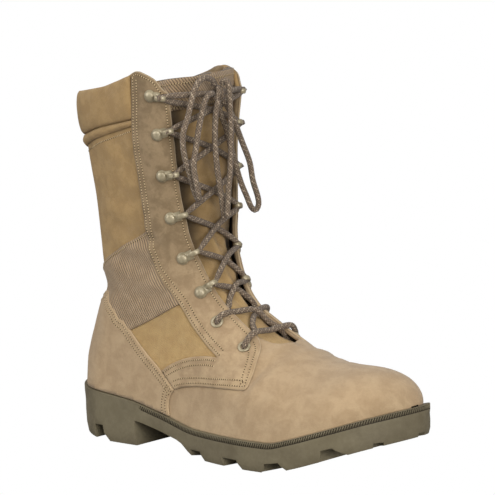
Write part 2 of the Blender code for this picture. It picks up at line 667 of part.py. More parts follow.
def add_upper_sheet(mesh, rings):
    """One skin of the upper: the lateral and medial halves of the rings, joined only below the throat."""
    half = len(rings[0]) // 2
    lateral = add_sheet(mesh, [ring[:half] for ring in rings])
    medial = add_sheet(mesh, [ring[half:] for ring in rings])
    tip = lateral[0] + medial[0]
    for j in range(half - 1):
        mesh.faces.new((tip[j], tip[j + 1], tip[-j - 2], tip[-j - 1]))
    return lateral, medial


def make_upper(collection, tools, material):
    """Hollow wall of vamp and shaft, open at collar, throat and underneath."""
    mesh = bmesh.new()
    outer = add_upper_sheet(mesh, last_rings(0.0, SOLID_ROWS))
    inner = add_upper_sheet(mesh, last_rings(WALL, SOLID_ROWS))
    throat = SOLID_ROWS.index(THROAT_ROW)
    heel = SOLID_ROWS.index(HEEL_ROW)
    for outside, inside, sole_edge, throat_edge in ((outer[0], inner[0], "start", "end"),
                                                    (outer[1], inner[1], "end", "start")):
        close_sheets(mesh, outside[:heel + 1], inside[:heel + 1], (sole_edge,))
        close_sheets(mesh, outside[throat:], inside[throat:], (throat_edge,))
        close_sheets(mesh, outside, inside, ("final",))
    mesh.faces.new((outer[0][0][0], outer[1][0][-1], inner[1][0][-1], inner[0][0][0]))
    upper = finish_solid(mesh, "upper", collection, material)
    above = outline_from(COLLAR_LINE + TAB[::-1]) + outline_from(((29.9, 1.3), (29.9, -0.3)))
    cut(upper, prism("collar_cutter", above, -BALL_WIDTH, BALL_WIDTH, tools))
    for cutter in eyelet_cutters(tools):
        cut(upper, cutter)
    return upper


def raised_rings(rows, shares, sides, lift):
    """Rings of points lifted off the last, none of them below the sole's edge."""
    rings = []
    for row in rows:
        end = throat_across(row)
        across = [end * share for share in shares]
        points = []
        for side in sides:
            order = across if side < 0 or len(sides) == 1 else across[::-1]
            for place in order:
                point = last_point(row, place, side) + last_normal(row, place, side) * lift
                point.z = max(point.z, sole_top(point.x) + LIFT + GAP)
                points.append(point)
        rings.append(points)
    return rings


def make_overlay(name, rows, shares, side, thickness, corners, groups, material):
    """Sheet of even thickness on one side of the upper, cut to a side-view outline."""
    collection, tools = groups
    mesh = bmesh.new()
    add_sheet(mesh, raised_rings(rows, shares, (side,), LIFT))
    bmesh.ops.remove_doubles(mesh, verts=mesh.verts, dist=0.00002)
    bmesh.ops.recalc_face_normals(mesh, faces=mesh.faces)
    mesh.faces.ensure_lookup_table()
    middle = mesh.faces[len(mesh.faces) // 2]
    if middle.normal.y * side < 0.0:
        bmesh.ops.reverse_faces(mesh, faces=mesh.faces)
    item = object_from(mesh, name, collection, material)
    solid = item.modifiers.new("thickness", "SOLIDIFY")
    solid.thickness = thickness
    solid.offset = 1.0
    limits = (0.0, side * BALL_WIDTH)
    cut(item, prism(name + "_outline", corners, min(limits), max(limits), tools), "INTERSECT")
    return item


def rows_between(low, high):
    return [row for row in SOLID_ROWS if low <= row <= high]


def make_facing(side, label, groups, material):
    """Suede lace facing with its tab, and the wing that runs back to the counter."""
    corners = outline_from(TAB + FACING_REAR[1:] + WING_TOP + WING_BOTTOM)
    item = make_overlay("eyestay_" + label, rows_between(7.5, TOP_ROW), SOLID_ACROSS[1:], side, OVERLAY,
                        corners, groups, material)
    for cutter in eyelet_cutters(groups[1], label):
        cut(item, cutter)
    return item


def make_webbing(side, label, groups, material):
    """Slanted ankle webbing between facing and counter."""
    corners = outline_from(WEBBING_TOP + WEBBING_FRONT + WEBBING_BOTTOM)
    return make_overlay("webbing_" + label, rows_between(12.0, 22.0), SOLID_ACROSS, side, WEBBING, corners,
                        groups, material)


def make_counter(groups, material):
    """Suede heel counter round the back of the heel."""
    collection, tools = groups
    rows = rows_between(10.0, 21.0)
    shares = SOLID_ACROSS[:6]
    heel = rows.index(HEEL_ROW)
    mesh = bmesh.new()
    skins = []
    for lift in (LIFT, LIFT + OVERLAY):
        rings = raised_rings(rows, shares, (-1, 1), lift)
        half = len(shares)
        lateral = add_sheet(mesh, [ring[:half] for ring in rings])
        medial = add_sheet(mesh, [ring[half:] for ring in rings])
        skins.append((lateral, medial))
    for k, sole_edge, front_edge in ((0, "start", "end"), (1, "end", "start")):
        outside, inside = skins[1][k], skins[0][k]
        close_sheets(mesh, outside[:heel + 1], inside[:heel + 1], (sole_edge,))
        close_sheets(mesh, outside, inside, (front_edge, "first", "final"))
    item = finish_solid(mesh, "heel_counter", collection, material)
    corners = outline_from(COUNTER_EDGE + ((15.0, -0.25),))
    cut(item, prism("counter_outline", corners, -BALL_WIDTH, BALL_WIDTH, tools), "INTERSECT")
    return item


def wrapped_roll(name, bottom, top, profile, collection, material):
    """Padded strip round the back of the shaft between two side-view lines."""
    shares = [0.0, 0.02, 0.08, 0.17, 0.29, 0.41, 0.52, bottom[-1][1]]
    mesh = bmesh.new()
    skins = []
    for puff in (False, True):
        lateral, medial = [], []
        for level, height in profile:
            rings = {-1: [], 1: []}
            for side in (-1, 1):
                for across in shares:
                    low = curve_value([p[1] for p in bottom], [p[0] for p in bottom], across)
                    high = curve_value([p[1] for p in top], [p[0] for p in top], across)
                    row = low + (high - low) * level
                    lift = SLIDE + (height if puff else 0.0)
                    rings[side].append(last_point(row, across, side) + last_normal(row, across, side) * lift)
            lateral.append(rings[-1])
            medial.append(rings[1])
        skins.append((add_sheet(mesh, lateral), add_sheet(mesh, medial)))
    for k in (0, 1):
        close_sheets(mesh, skins[1][k], skins[0][k], ("end", "first", "final"))
    return finish_solid(name=name, mesh=mesh, collection=collection, material=material)


def make_collar(collection, canvas):
    """Padded canvas band at the collar and the seam roll under it."""
    profile = ((0.0, 0.30), (0.08, 0.72), (0.30, 1.0), (0.60, 1.0), (0.85, 0.80), (1.0, 0.35))
    band = [(level, share * BAND_PUFF) for level, share in profile]
    wrapped_roll("collar_band", BAND_BOTTOM, COLLAR_LINE, band, collection, canvas)
    roll = ((0.0, 0.35), (0.3, 0.9), (0.65, 0.9), (1.0, 0.35))
    piping = [(level, share * PIPING) for level, share in roll]
    wrapped_roll("collar_piping", PIPING_BOTTOM, PIPING_TOP, piping, collection, canvas)


def tongue_point(row, share, inset):
    """Point of the tongue: share runs from -1 at its lateral edge to 1 at its medial edge."""
    values = row_values(row)
    length = math.hypot(values["high_x"] - values["low_x"], values["high_z"] - values["low_z"])
    edge = throat_gap(row)
    flat = max(edge, TONGUE_ROOT)
    y = min(1.0, abs(share) / TONGUE_FLAT) * flat
    settled = min(1.0, max(0.0, (row - THROAT_ROW) / 2.0))
    if y < edge and settled > 0.0:
        crown = TONGUE_CROWN * settled * (1.0 - (y / edge) ** 2) / length
        across = across_at_half(row, edge, inset) + crown
    else:
        across = across_at_half(row, y, inset)
    if abs(share) > TONGUE_FLAT:
        across -= TONGUE_WING * (abs(share) - TONGUE_FLAT) / (1.0 - TONGUE_FLAT) / length
        y = half_width(values, across, inset)
    x, z = section_place(values, across, 0.0)
    middle = values["low_shift"] + (values["lean"] - values["low_shift"]) * min(across, 1.0)
    return Vector((x, middle + math.copysign(y, share), z))


def grid_normal(rings, i, j):
    """Normal of a grid of points at one of them, toward the front."""
    last_row, last_place = len(rings) - 1, len(rings[0]) - 1
    by_row = rings[min(i + 1, last_row)][j] - rings[max(i - 1, 0)][j]
    by_place = rings[i][min(j + 1, last_place)] - rings[i][max(j - 1, 0)]
    normal = by_row.cross(by_place).normalized()
    return normal if normal.x > 0.0 else -normal


def make_tongue(collection, material):
    """Canvas tongue behind the laces, its wings under the facings."""
    shares = [-1.0, -0.85, -0.7, -0.5, -0.25, 0.0, 0.25, 0.5, 0.7, 0.85, 1.0]
    levels = [0.0, 0.02, 0.04, 0.07, 0.11] + [0.16 + 0.07 * i for i in range(13)]
    front = []
    for level in levels:
        tops = [TONGUE_TOP + TONGUE_SLANT * share for share in shares]
        rows = [TONGUE_FOOT + (top - TONGUE_FOOT) * level for top in tops]
        front.append([tongue_point(row, share, WALL + 2.0 * SLIDE) for row, share in zip(rows, shares)])
    back = [[point - grid_normal(front, i, j) * TONGUE_WALL for j, point in enumerate(ring)]
            for i, ring in enumerate(front)]
    mesh = bmesh.new()
    skins = (add_sheet(mesh, front), add_sheet(mesh, back))
    close_sheets(mesh, skins[0], skins[1], ("start", "end", "first", "final"))
    return finish_solid(mesh, "tongue", collection, material)


# Hooks, eyelets and lace


def surface_frame(place, side, lift, toward=None):
    """Matrix on the last's surface: Z outward and X toward another place, or along the shaft."""
    point = last_point(*place, side)
    outward = last_normal(*place, side)
    aim = (last_point(*toward, side) if toward else point + Vector((0.0, 0.0, 1.0))) - point
    ahead = (aim - outward * aim.dot(outward)).normalized()
    matrix = Matrix((ahead, outward.cross(ahead), outward)).transposed().to_4x4()
    return Matrix.Translation(point + outward * lift) @ matrix


def eyelet_cutters(tools, only=None):
    """Cylinders through upper and facing at the eyelets, made once for both."""
    cutters = []
    for side, label in ((-1, "lateral"), (1, "medial")):
        for index, place in enumerate(EYELET_PLACES):
            name = "eyelet_cutter_%s_%d" % (label, index + 7)
            if only not in (None, label):
                continue
            if name not in tools.objects:
                mesh = bmesh.new()
                matrix = surface_frame(place, side, 0.0)
                bmesh.ops.create_cone(mesh, cap_ends=True, segments=16, radius1=EYELET_HOLE,
                                      radius2=EYELET_HOLE, depth=0.012, matrix=matrix)
                as_cutter(object_from(mesh, name, tools))
            cutters.append(tools.objects[name])
    return cutters


def turned_head(radius, rise, tools):
    """Domed rivet head, turned about Z."""
    profile = ((0.0, 1.0), (0.55, 0.92), (0.86, 0.64), (1.0, 0.30), (1.0, 0.0), (0.0, 0.0))
    mesh = bmesh.new()
    points = [mesh.verts.new((share * radius, 0.0, level * rise)) for share, level in profile]
    for pair in zip(points, points[1:]):
        mesh.edges.new(pair)
    head = object_from(mesh, "rivet_head", tools)
    screw = head.modifiers.new("turn", "SCREW")
    screw.steps = 10
    screw.render_steps = 10
    screw.use_merge_vertices = True
    screw.merge_threshold = 0.00001
    return head


def ring(name, major, minor, matrix, tools, sides=5):
    """Torus whose axis is the matrix's Z."""
    bpy.ops.mesh.primitive_torus_add(major_radius=major, minor_radius=minor, major_segments=12,
                                     minor_segments=sides)
    item = bpy.context.object
    item.name = name
    item.data.transform(matrix)
    for collection in list(item.users_collection):
        collection.objects.unlink(item)
    tools.objects.link(item)
    return as_cutter(item)


def evaluated_mesh(item):
    """Mesh of an object with its modifiers applied and its seams welded."""
    graph = bpy.context.evaluated_depsgraph_get()
    data = bpy.data.meshes.new_from_object(item.evaluated_get(graph))
    mesh = bmesh.new()
    mesh.from_mesh(data)
    bmesh.ops.remove_doubles(mesh, verts=mesh.verts, dist=0.00001)
    bmesh.ops.recalc_face_normals(mesh, faces=mesh.faces)
    mesh.to_mesh(data)
    mesh.free()
    return data


def hook_mesh(tools, material):
    """Speed hook: rivet head, plate and lace loop in one."""
    head = turned_head(RIVET_RADIUS, HOOK_PLATE + RIVET_RISE, tools)
    neck = HOOK_REACH - 0.55 * LOOP_RADIUS
    plate = box_cutter("hook_plate", (neck, HOOK_PLATE_WIDTH, HOOK_PLATE),
                       Matrix.Translation((0.5 * neck, 0.0, 0.5 * HOOK_PLATE + 0.00005)), tools)
    stand = Matrix.Translation((HOOK_REACH, 0.0, LOOP_FLATTEN * LOOP_RADIUS + LOOP_WIRE + 0.0001))
    shape = stand @ Matrix.Diagonal((1.0, 2.2, LOOP_FLATTEN, 1.0)) @ Matrix.Rotation(math.radians(90.0), 4, "X")
    loop = ring("hook_loop", LOOP_RADIUS, LOOP_WIRE, shape, tools)
    cut(head, plate, "UNION")
    cut(head, loop, "UNION")
    data = evaluated_mesh(head)
    data.name = "hook"
    data.materials.clear()
    data.materials.append(material)
    as_cutter(head)
    return data


def place_copy(name, data, matrix, collection):
    item = bpy.data.objects.new(name, data)
    item.matrix_world = matrix
    collection.objects.link(item)
    return item


def make_hooks_and_eyelets(collection, tools, material):
    hook = hook_mesh(tools, material)
    shape = Matrix.Diagonal((1.0, 1.0, 0.6, 1.0))
    eyelet = ring("eyelet_ring", EYELET_RADIUS, EYELET_WIRE, shape, tools).data
    eyelet.materials.append(material)
    seat = LIFT + OVERLAY + GAP
    for side, label in ((-1, "lateral"), (1, "medial")):
        for index, (place, loop) in enumerate(zip(HOOK_PLACES, HOOK_LOOPS)):
            matrix = surface_frame(place, side, seat, loop)
            place_copy("hook_%s_%d" % (label, index + 1), hook, matrix, collection)
        for index, place in enumerate(EYELET_PLACES):
            matrix = surface_frame(place, side, seat + EYELET_WIRE)
            place_copy("eyelet_%s_%d" % (label, index + 7), eyelet, matrix, collection)


def lace_seat():
    """Height of the lace's centre line in the hooks' loops, above the last."""
    return LIFT + OVERLAY + GAP + LOOP_FLATTEN * LOOP_RADIUS + LOOP_WIRE


def loop_centre(level, side):
    """Centre of a hook's loop; levels count from 1 at the top."""
    place = HOOK_LOOPS[level - 1]
    return last_point(*place, side) + last_normal(*place, side) * lace_seat()


def forward_at(row):
    """Direction along a section, toward the front of the boot."""
    low, high = side_view(row, 0.0), side_view(row, 1.0)
    return Vector((high[0] - low[0], 0.0, high[1] - low[1])).normalized()


def above_tongue(row, share, lift):
    """Point in front of the tongue; share is its place across."""
    return tongue_point(row, share, WALL + 2.0 * SLIDE) + forward_at(row) * lift


def over_eyelet(level, side, lift):
    place = EYELET_PLACES[level - 7]
    return last_point(*place, side) + last_normal(*place, side) * lift


def smooth_path(points, spacing):
    """Points at even distances along a smooth curve through the given points."""
    points = [Vector(point) for point in points]
    ends = [2.0 * points[0] - points[1]] + points + [2.0 * points[-1] - points[-2]]
    fine = []
    for before, start, end, after in zip(ends, ends[1:], ends[2:], ends[3:]):
        for step in range(12):
            t = step / 12.0
            fine.append(0.5 * (2.0 * start + (end - before) * t
                               + (2.0 * before - 5.0 * start + 4.0 * end - after) * t * t
                               + (3.0 * start - before - 3.0 * end + after) * t ** 3))
    fine.append(points[-1])
    lengths = np.cumsum([0.0] + [(b - a).length for a, b in zip(fine, fine[1:])])
    count = max(3, round(lengths[-1] / spacing) + 1)
    wanted = np.linspace(0.0, lengths[-1], count)
    return [Vector([float(np.interp(d, lengths, [p[axis] for p in fine])) for axis in range(3)]) for d in wanted]


def tube(name, points, collection, material=None):
    """Round cord along points, as a curve object."""
    curve = bpy.data.curves.new(name, "CURVE")
    curve.dimensions = "3D"
    curve.bevel_depth = 0.5 * LACE
    curve.bevel_resolution = 2
    curve.use_fill_caps = True
    spline = curve.splines.new("POLY")
    spline.points.add(len(points) - 1)
    for target, point in zip(spline.points, points):
        target.co = (*point, 1.0)
    item = bpy.data.objects.new(name, curve)
    collection.objects.link(item)
    if material:
        curve.materials.append(material)
    return item


def strand_points(start, middle, end, clear, bulge):
    """Centre line from start to end over a middle point, beginning and ending a little short."""
    points = []
    for share in (0.0, 0.5):
        a, b = (start, middle) if share == 0.0 else (middle, end)
        for step in range(4):
            t = step / 3.0
            if share == 0.0 or step:
                points.append(a.lerp(b, t) + bulge * 4.0 * t * (1.0 - t))
    first = start.lerp(points[1], min(0.9, clear[0] / (points[1] - start).length))
    final = end.lerp(points[-2], min(0.9, clear[1] / (points[-2] - end).length))
    return [first] + points[1:-1] + [final]


def make_crossing(name, row, ends, clear, groups, material, arch=1.0):
    """Two strands that cross over the tongue and are joined where they meet."""
    collection, tools = groups
    middle = above_tongue(row, 0.0, 0.5 * LACE + LACE_CLEAR * arch)
    bulge = forward_at(row) * LACE_BULGE * arch
    meshes = []
    for index, (start, end) in enumerate(ends):
        points = strand_points(start, middle, end, clear, bulge)
        curve = tube("%s_strand_%d" % (name, index + 1), points, tools)
        data = evaluated_mesh(curve)
        bpy.data.objects.remove(curve, do_unlink=True)
        meshes.append(data)
    item = bpy.data.objects.new(name, meshes[0])
    collection.objects.link(item)
    meshes[0].materials.append(material)
    other = bpy.data.objects.new(name + "_other", meshes[1])
    tools.objects.link(as_cutter(other))
    cut(item, other, "UNION")
    return item


def make_laces(groups, material):
    """Lace across the throat, from the bar at the lowest eyelets to the highest hooks."""
    collection, _ = groups
    low = 0.5 * LACE + LACE_CLEAR
    for level in range(1, 6):
        rows = [HOOK_LOOPS[level - 1][0], HOOK_LOOPS[level][0]]
        ends = [(loop_centre(level, side), loop_centre(level + 1, -side)) for side in (-1, 1)]
        make_crossing("lace_crossing_%d" % level, 0.5 * sum(rows), ends, (LACE_START, LACE_START), groups,
                      material)
    inner = [above_tongue(INNER_ROWS[0], side * INNER_SHARE, low + LACE_CLEAR) for side in (-1, 1)]
    ends = [(loop_centre(6, side), inner[(1 - side) // 2]) for side in (-1, 1)]
    row = 0.5 * (HOOK_LOOPS[5][0] + INNER_ROWS[0])
    make_crossing("lace_crossing_6", row, ends, (LACE_START, 0.0), groups, material, 1.8)
    outer = LIFT + OVERLAY + 1.6 * EYELET_WIRE + 0.5 * LACE + 2.5 * LACE_CLEAR
    inner = [above_tongue(INNER_ROWS[1], side * INNER_SHARE, low + LACE_CLEAR) for side in (-1, 1)]
    ends = [(over_eyelet(7, side, outer), inner[(1 - side) // 2]) for side in (-1, 1)]
    row = 0.5 * (EYELET_PLACES[0][0] + INNER_ROWS[1])
    make_crossing("lace_crossing_7", row, ends, (0.6 * LACE_START, 0.0), groups, material, 2.8)
    middle = above_tongue(EYELET_PLACES[1][0], 0.0, low + LACE)
    points = strand_points(over_eyelet(8, -1, outer), middle, over_eyelet(8, 1, outer), (0.0, 0.0),
                           forward_at(EYELET_PLACES[1][0]) * LACE_BULGE * 2.2)
    tube("lace_bar", smooth_path(points, 2.0 * LACE), collection, material)


def knot_centre():
    return above_tongue(KNOT_ROW, 0.0, KNOT_FORWARD)


def make_bow(groups, material):
    """Knot, the strands that reach it from the highest hooks, two loops and two ends."""
    collection, tools = groups
    centre = knot_centre()
    mesh = bmesh.new()
    bmesh.ops.create_uvsphere(mesh, u_segments=12, v_segments=8, radius=1.0,
                              matrix=Matrix.Translation(centre) @ Matrix.Diagonal((*KNOT_SIZE, 1.0)))
    object_from(mesh, "lace_knot", collection, material)
    for side, label in ((-1, "lateral"), (1, "medial")):
        start = loop_centre(1, side)
        toward = (centre - start).normalized()
        reach = (centre - start).length - KNOT_SIZE[1] - 2.0 * GAP
        middle = start + toward * (0.5 * (TOP_START + reach)) + Vector((LACE_BULGE, 0.0, 0.0))
        points = smooth_path((start + toward * TOP_START, middle, start + toward * reach), 2.0 * LACE)
        tube("lace_top_" + label, points, collection, material)
    for name, table in (("lace_loop_lateral", LOOP_LATERAL), ("lace_loop_medial", LOOP_MEDIAL),
                        ("lace_end_lateral", END_LATERAL), ("lace_end_medial", END_MEDIAL)):
        points = [centre + Vector(offset) for offset in table]
        tube(name, smooth_path(points, 2.2 * LACE), collection, material)


def remove_everything():
    for item in list(bpy.data.objects):
        bpy.data.objects.remove(item, do_unlink=True)


def main():
    remove_everything()
    parts = collection_named("jungle_boot")
    tools = collection_named("cutters")
    rubber = material_named("rubber", RUBBER, 0.6)
    suede = material_named("suede", SUEDE, 0.9)
    canvas = material_named("canvas", CANVAS, 0.85)
    webbing = material_named("webbing", WEAVE, 0.8)
    metal = material_named("painted_metal", METAL, 0.45, 0.6)
    cord = material_named("lace_cord", CORD, 0.85)
    groups = (parts, tools)
    make_outsole(parts, tools, rubber)
    make_insole(parts, canvas)
    make_upper(parts, tools, canvas)
    make_tongue(parts, canvas)
    make_counter(groups, suede)
    for side, label in ((-1, "lateral"), (1, "medial")):
        make_facing(side, label, groups, suede)
        make_webbing(side, label, groups, webbing)
    make_collar(parts, canvas)
    make_hooks_and_eyelets(parts, tools, metal)
    make_laces(groups, cord)
    make_bow(groups, cord)


main()
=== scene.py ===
"""Jungle boot, right foot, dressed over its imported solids.

Every soft piece follows one last, whose sections run as a fan from the toe tip to the heel and up the
back of the shaft. A place on the last is a pair: row, the section's number, and across, from 0 at the sole
edge or back seam to 1 at the front line. Toe toward +X, medial side toward +Y, metres throughout.
"""
import json
import logging
import math
from dataclasses import dataclass, field
from enum import Enum
from typing import Callable, Iterable, Sequence

import bmesh
import bpy
import numpy as np
from mathutils import Matrix, Vector
from mathutils.kdtree import KDTree
from mathutils.geometry import delaunay_2d_cdt

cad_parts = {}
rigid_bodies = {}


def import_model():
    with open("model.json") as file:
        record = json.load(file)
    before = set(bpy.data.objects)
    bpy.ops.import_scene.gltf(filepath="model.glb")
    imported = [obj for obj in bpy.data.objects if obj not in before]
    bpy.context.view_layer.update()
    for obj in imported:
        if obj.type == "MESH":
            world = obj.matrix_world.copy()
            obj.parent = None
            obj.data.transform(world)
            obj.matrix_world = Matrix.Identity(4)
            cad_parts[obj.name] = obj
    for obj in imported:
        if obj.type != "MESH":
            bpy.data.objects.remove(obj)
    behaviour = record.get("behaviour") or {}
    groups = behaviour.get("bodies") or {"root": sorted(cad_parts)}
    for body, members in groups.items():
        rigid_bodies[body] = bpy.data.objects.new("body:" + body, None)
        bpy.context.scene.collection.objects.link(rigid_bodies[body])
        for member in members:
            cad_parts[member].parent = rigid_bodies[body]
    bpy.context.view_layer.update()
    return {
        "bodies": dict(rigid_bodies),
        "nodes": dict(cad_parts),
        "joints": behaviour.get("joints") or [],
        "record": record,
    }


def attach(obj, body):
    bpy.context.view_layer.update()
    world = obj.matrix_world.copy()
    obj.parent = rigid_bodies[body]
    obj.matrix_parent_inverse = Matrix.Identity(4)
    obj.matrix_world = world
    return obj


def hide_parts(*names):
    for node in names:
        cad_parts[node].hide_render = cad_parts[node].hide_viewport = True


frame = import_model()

LOG = logging.getLogger("jungle_boot")
Colour = tuple[float, float, float]
Places = Sequence[tuple[float, float]]
Thing = bpy.types.Object
Verts = Sequence[bmesh.types.BMVert]
Look = bpy.types.Material
Looks = dict[str, Look]
Socket = bpy.types.NodeSocket


class Side(Enum):
    """Side of the boot, valued by the sign of Y."""

    LATERAL = -1
    MEDIAL = 1

    @property
    def label(self) -> str:
        """Name used in node names."""
        return self.name.lower()


def srgb(red: int, green: int, blue: int) -> Colour:
    """Linear colour of an 8-bit screen colour."""
    return tuple((v / 255.0 / 12.92) if v < 11 else ((v / 255.0 + 0.055) / 1.055) ** 2.4
                 for v in (red, green, blue))


class SmoothCurve:
    """Smooth curve through a table's rows that never overshoots them."""

    def __init__(self, places: Sequence[float], values: Sequence[float]) -> None:
        self.xs = np.asarray(places, float)
        self.ys = np.asarray(values, float)
        steps = np.diff(self.xs)
        slopes = np.diff(self.ys) / steps
        self.tangents = np.zeros_like(self.ys)
        self.tangents[0] = slopes[0]
        self.tangents[-1] = slopes[-1]
        for i in range(1, len(self.xs) - 1):
            if slopes[i - 1] * slopes[i] > 0.0:
                before = 2.0 * steps[i] + steps[i - 1]
                after = steps[i] + 2.0 * steps[i - 1]
                self.tangents[i] = (before + after) / (before / slopes[i - 1] + after / slopes[i])

    def __call__(self, x: np.ndarray | float) -> np.ndarray:
        """Values at x, held at the table's ends."""
        x = np.clip(np.asarray(x, float), self.xs[0], self.xs[-1])
        k = np.clip(np.searchsorted(self.xs, x, side="right") - 1, 0, len(self.xs) - 2)
        step = self.xs[k + 1] - self.xs[k]
        t = (x - self.xs[k]) / step
        start = (1 + 2 * t) * (1 - t) ** 2 * self.ys[k] + t * (1 - t) ** 2 * step * self.tangents[k]
        end = t * t * (3 - 2 * t) * self.ys[k + 1] + t * t * (t - 1) * step * self.tangents[k + 1]
        return start + end


def through(rows: Sequence[Sequence[float]], column: int) -> SmoothCurve:
    """Curve of one column of a table over its first column."""
    return SmoothCurve([row[0] for row in rows], [row[column] for row in rows])


def rounding(share: np.ndarray) -> np.ndarray:
    """Quarter of a circle: 0 at the edge, 1 from a full radius inward."""
    share = np.clip(share, 0.0, 1.0)
    return np.sqrt(1.0 - (1.0 - share) ** 2)


def unit(vectors: np.ndarray) -> np.ndarray:
    """Vectors brought to a length of 1."""
    return vectors / np.maximum(np.linalg.norm(vectors, axis=-1, keepdims=True), 1e-12)


def run_lengths(points: np.ndarray) -> np.ndarray:
    """Distance along a path from its first point to each point."""
    return np.concatenate([[0.0], np.cumsum(np.linalg.norm(np.diff(points, axis=0), axis=1))])


def sampled(points: np.ndarray, steps: np.ndarray, wanted: np.ndarray) -> np.ndarray:
    """Values at wanted distances between points whose own distances are steps."""
    return np.stack([np.interp(wanted, steps, column) for column in points.T], axis=1)


def same_shape(*values: np.ndarray | float) -> list[np.ndarray]:
    """Arrays of numbers, repeated to one shape."""
    return np.broadcast_arrays(*(np.asarray(value, float) for value in values))


def smooth_path(points: Sequence[Sequence[float]], spacing: float) -> np.ndarray:
    """Points at even distances along a smooth curve through the given points.

    Args:
        points: places that the curve passes through, in two or three dimensions.
        spacing: wanted distance between neighbours.

    Returns:
        The evenly spaced points.
    """
    points = np.asarray(points, float)
    ends = np.vstack([2.0 * points[0] - points[1], points, 2.0 * points[-1] - points[-2]])
    fine = []
    t = np.linspace(0.0, 1.0, 17)[:-1, None]
    for before, start, end, after in zip(ends, ends[1:], ends[2:], ends[3:]):
        fine.append(0.5 * (2.0 * start + (end - before) * t
                           + (2.0 * before - 5.0 * start + 4.0 * end - after) * t ** 2
                           + (3.0 * start - before - 3.0 * end + after) * t ** 3))
    fine = np.vstack(fine + [points[-1:]])
    lengths = run_lengths(fine)
    wanted = np.linspace(0.0, lengths[-1], max(3, round(lengths[-1] / spacing) + 1))
    return sampled(fine, lengths, wanted)


# Outsole in plan: share of the length, half width and sideways shift as shares of the ball width
PLAN = ((0.000, 0.346, 0.000), (0.200, 0.350, -0.007), (0.270, 0.339, -0.017), (0.335, 0.332, -0.033),
        (0.400, 0.344, -0.049), (0.467, 0.377, -0.060), (0.534, 0.421, -0.058), (0.600, 0.462, -0.045),
        (0.667, 0.492, -0.028), (0.720, 0.500, -0.013), (0.770, 0.494, -0.001), (0.817, 0.474, 0.011),
        (0.867, 0.444, 0.026), (0.910, 0.424, 0.039), (0.950, 0.408, 0.056), (1.000, 0.360, 0.103))

# Outsole from the side: share of the length, share of the heel's lift, share of the toe spring
PROFILE = ((0.000, 1.00, 0.000), (0.025, 0.93, 0.000), (0.135, 0.76, 0.000), (0.235, 0.61, 0.000),
           (0.300, 0.41, 0.000), (0.367, 0.22, 0.000), (0.434, 0.05, 0.000), (0.484, 0.00, 0.000),
           (0.720, 0.00, 0.000), (0.784, 0.00, 0.183), (0.850, 0.00, 0.443), (0.900, 0.00, 0.643),
           (0.950, 0.00, 0.840), (1.000, 0.00, 1.000))

# Last's foot sections: foot, top, rise, side, rounding and lean
FOOT_ROWS = (
    (0.9885, 0.9870, 0.025, 0.290, 0.070, 0.103),
    (0.9815, 0.9795, 0.062, 0.340, 0.130, 0.093),
    (0.9665, 0.9640, 0.117, 0.370, 0.180, 0.079),
    (0.9370, 0.9340, 0.180, 0.385, 0.230, 0.065),
    (0.8900, 0.8860, 0.243, 0.410, 0.280, 0.051),
    (0.8340, 0.8270, 0.304, 0.440, 0.335, 0.037),
    (0.7670, 0.7560, 0.366, 0.455, 0.390, 0.028),
    (0.6970, 0.6890, 0.423, 0.442, 0.420, 0.023),
    (0.6270, 0.6340, 0.465, 0.402, 0.430, 0.019),
    (0.5510, 0.5870, 0.518, 0.360, 0.410, 0.014),
    (0.4740, 0.5460, 0.584, 0.325, 0.390, 0.011),
    (0.3940, 0.5110, 0.653, 0.305, 0.374, 0.008),
    (0.3080, 0.4840, 0.730, 0.305, 0.374, 0.007),
    (0.2110, 0.4675, 0.810, 0.312, 0.392, 0.008),
    (0.1115, 0.4575, 0.885, 0.322, 0.405, 0.010),
    (0.0383, 0.4525, 0.950, 0.334, 0.415, 0.013),
    (0.0140, 0.4510, 1.000, 0.345, 0.420, 0.015),
)

# Shaft sections: back, front, low, high, heel, side, rounding and lean
SHAFT_ROWS = (
    (0.0170, 0.4503, 0.076, 0.052, 0.386, 0.428, 0.530, 0.017),
    (0.0310, 0.4503, 0.146, 0.103, 0.380, 0.436, 0.530, 0.019),
    (0.0530, 0.4510, 0.233, 0.164, 0.374, 0.444, 0.528, 0.020),
    (0.0740, 0.4523, 0.320, 0.224, 0.376, 0.452, 0.525, 0.020),
    (0.0790, 0.4543, 0.407, 0.293, 0.392, 0.458, 0.520, 0.020),
    (0.0720, 0.4576, 0.494, 0.379, 0.416, 0.464, 0.515, 0.020),
    (0.0640, 0.4609, 0.582, 0.474, 0.436, 0.472, 0.510, 0.020),
    (0.0560, 0.4659, 0.669, 0.578, 0.452, 0.484, 0.510, 0.020),
    (0.0470, 0.4709, 0.756, 0.681, 0.468, 0.496, 0.510, 0.020),
    (0.0370, 0.4775, 0.843, 0.784, 0.484, 0.505, 0.510, 0.020),
    (0.0290, 0.4842, 0.926, 0.888, 0.496, 0.512, 0.510, 0.020),
    (0.0240, 0.4892, 1.000, 1.000, 0.502, 0.517, 0.510, 0.020),
)
# Radius of the shaft's back over its height, and half of the throat's opening over the rows
BACK_ROUNDING = ((0.00, 0.38), (0.13, 0.39), (0.26, 0.44), (0.39, 0.51), (0.57, 0.58), (0.74, 0.62),
                 (1.00, 0.67))
THROAT = ((7.50, 0.000), (7.75, 0.115), (8.25, 0.165), (9.00, 0.188), (10.6, 0.190), (12.8, 0.214),
          (15.2, 0.258), (19.6, 0.322), (21.8, 0.350), (23.7, 0.378), (25.0, 0.402), (26.7, 0.430),
          (28.0, 0.445))
TOP_ROW = 28.0
THROAT_START = 8.8
FACING_TOP = 26.6

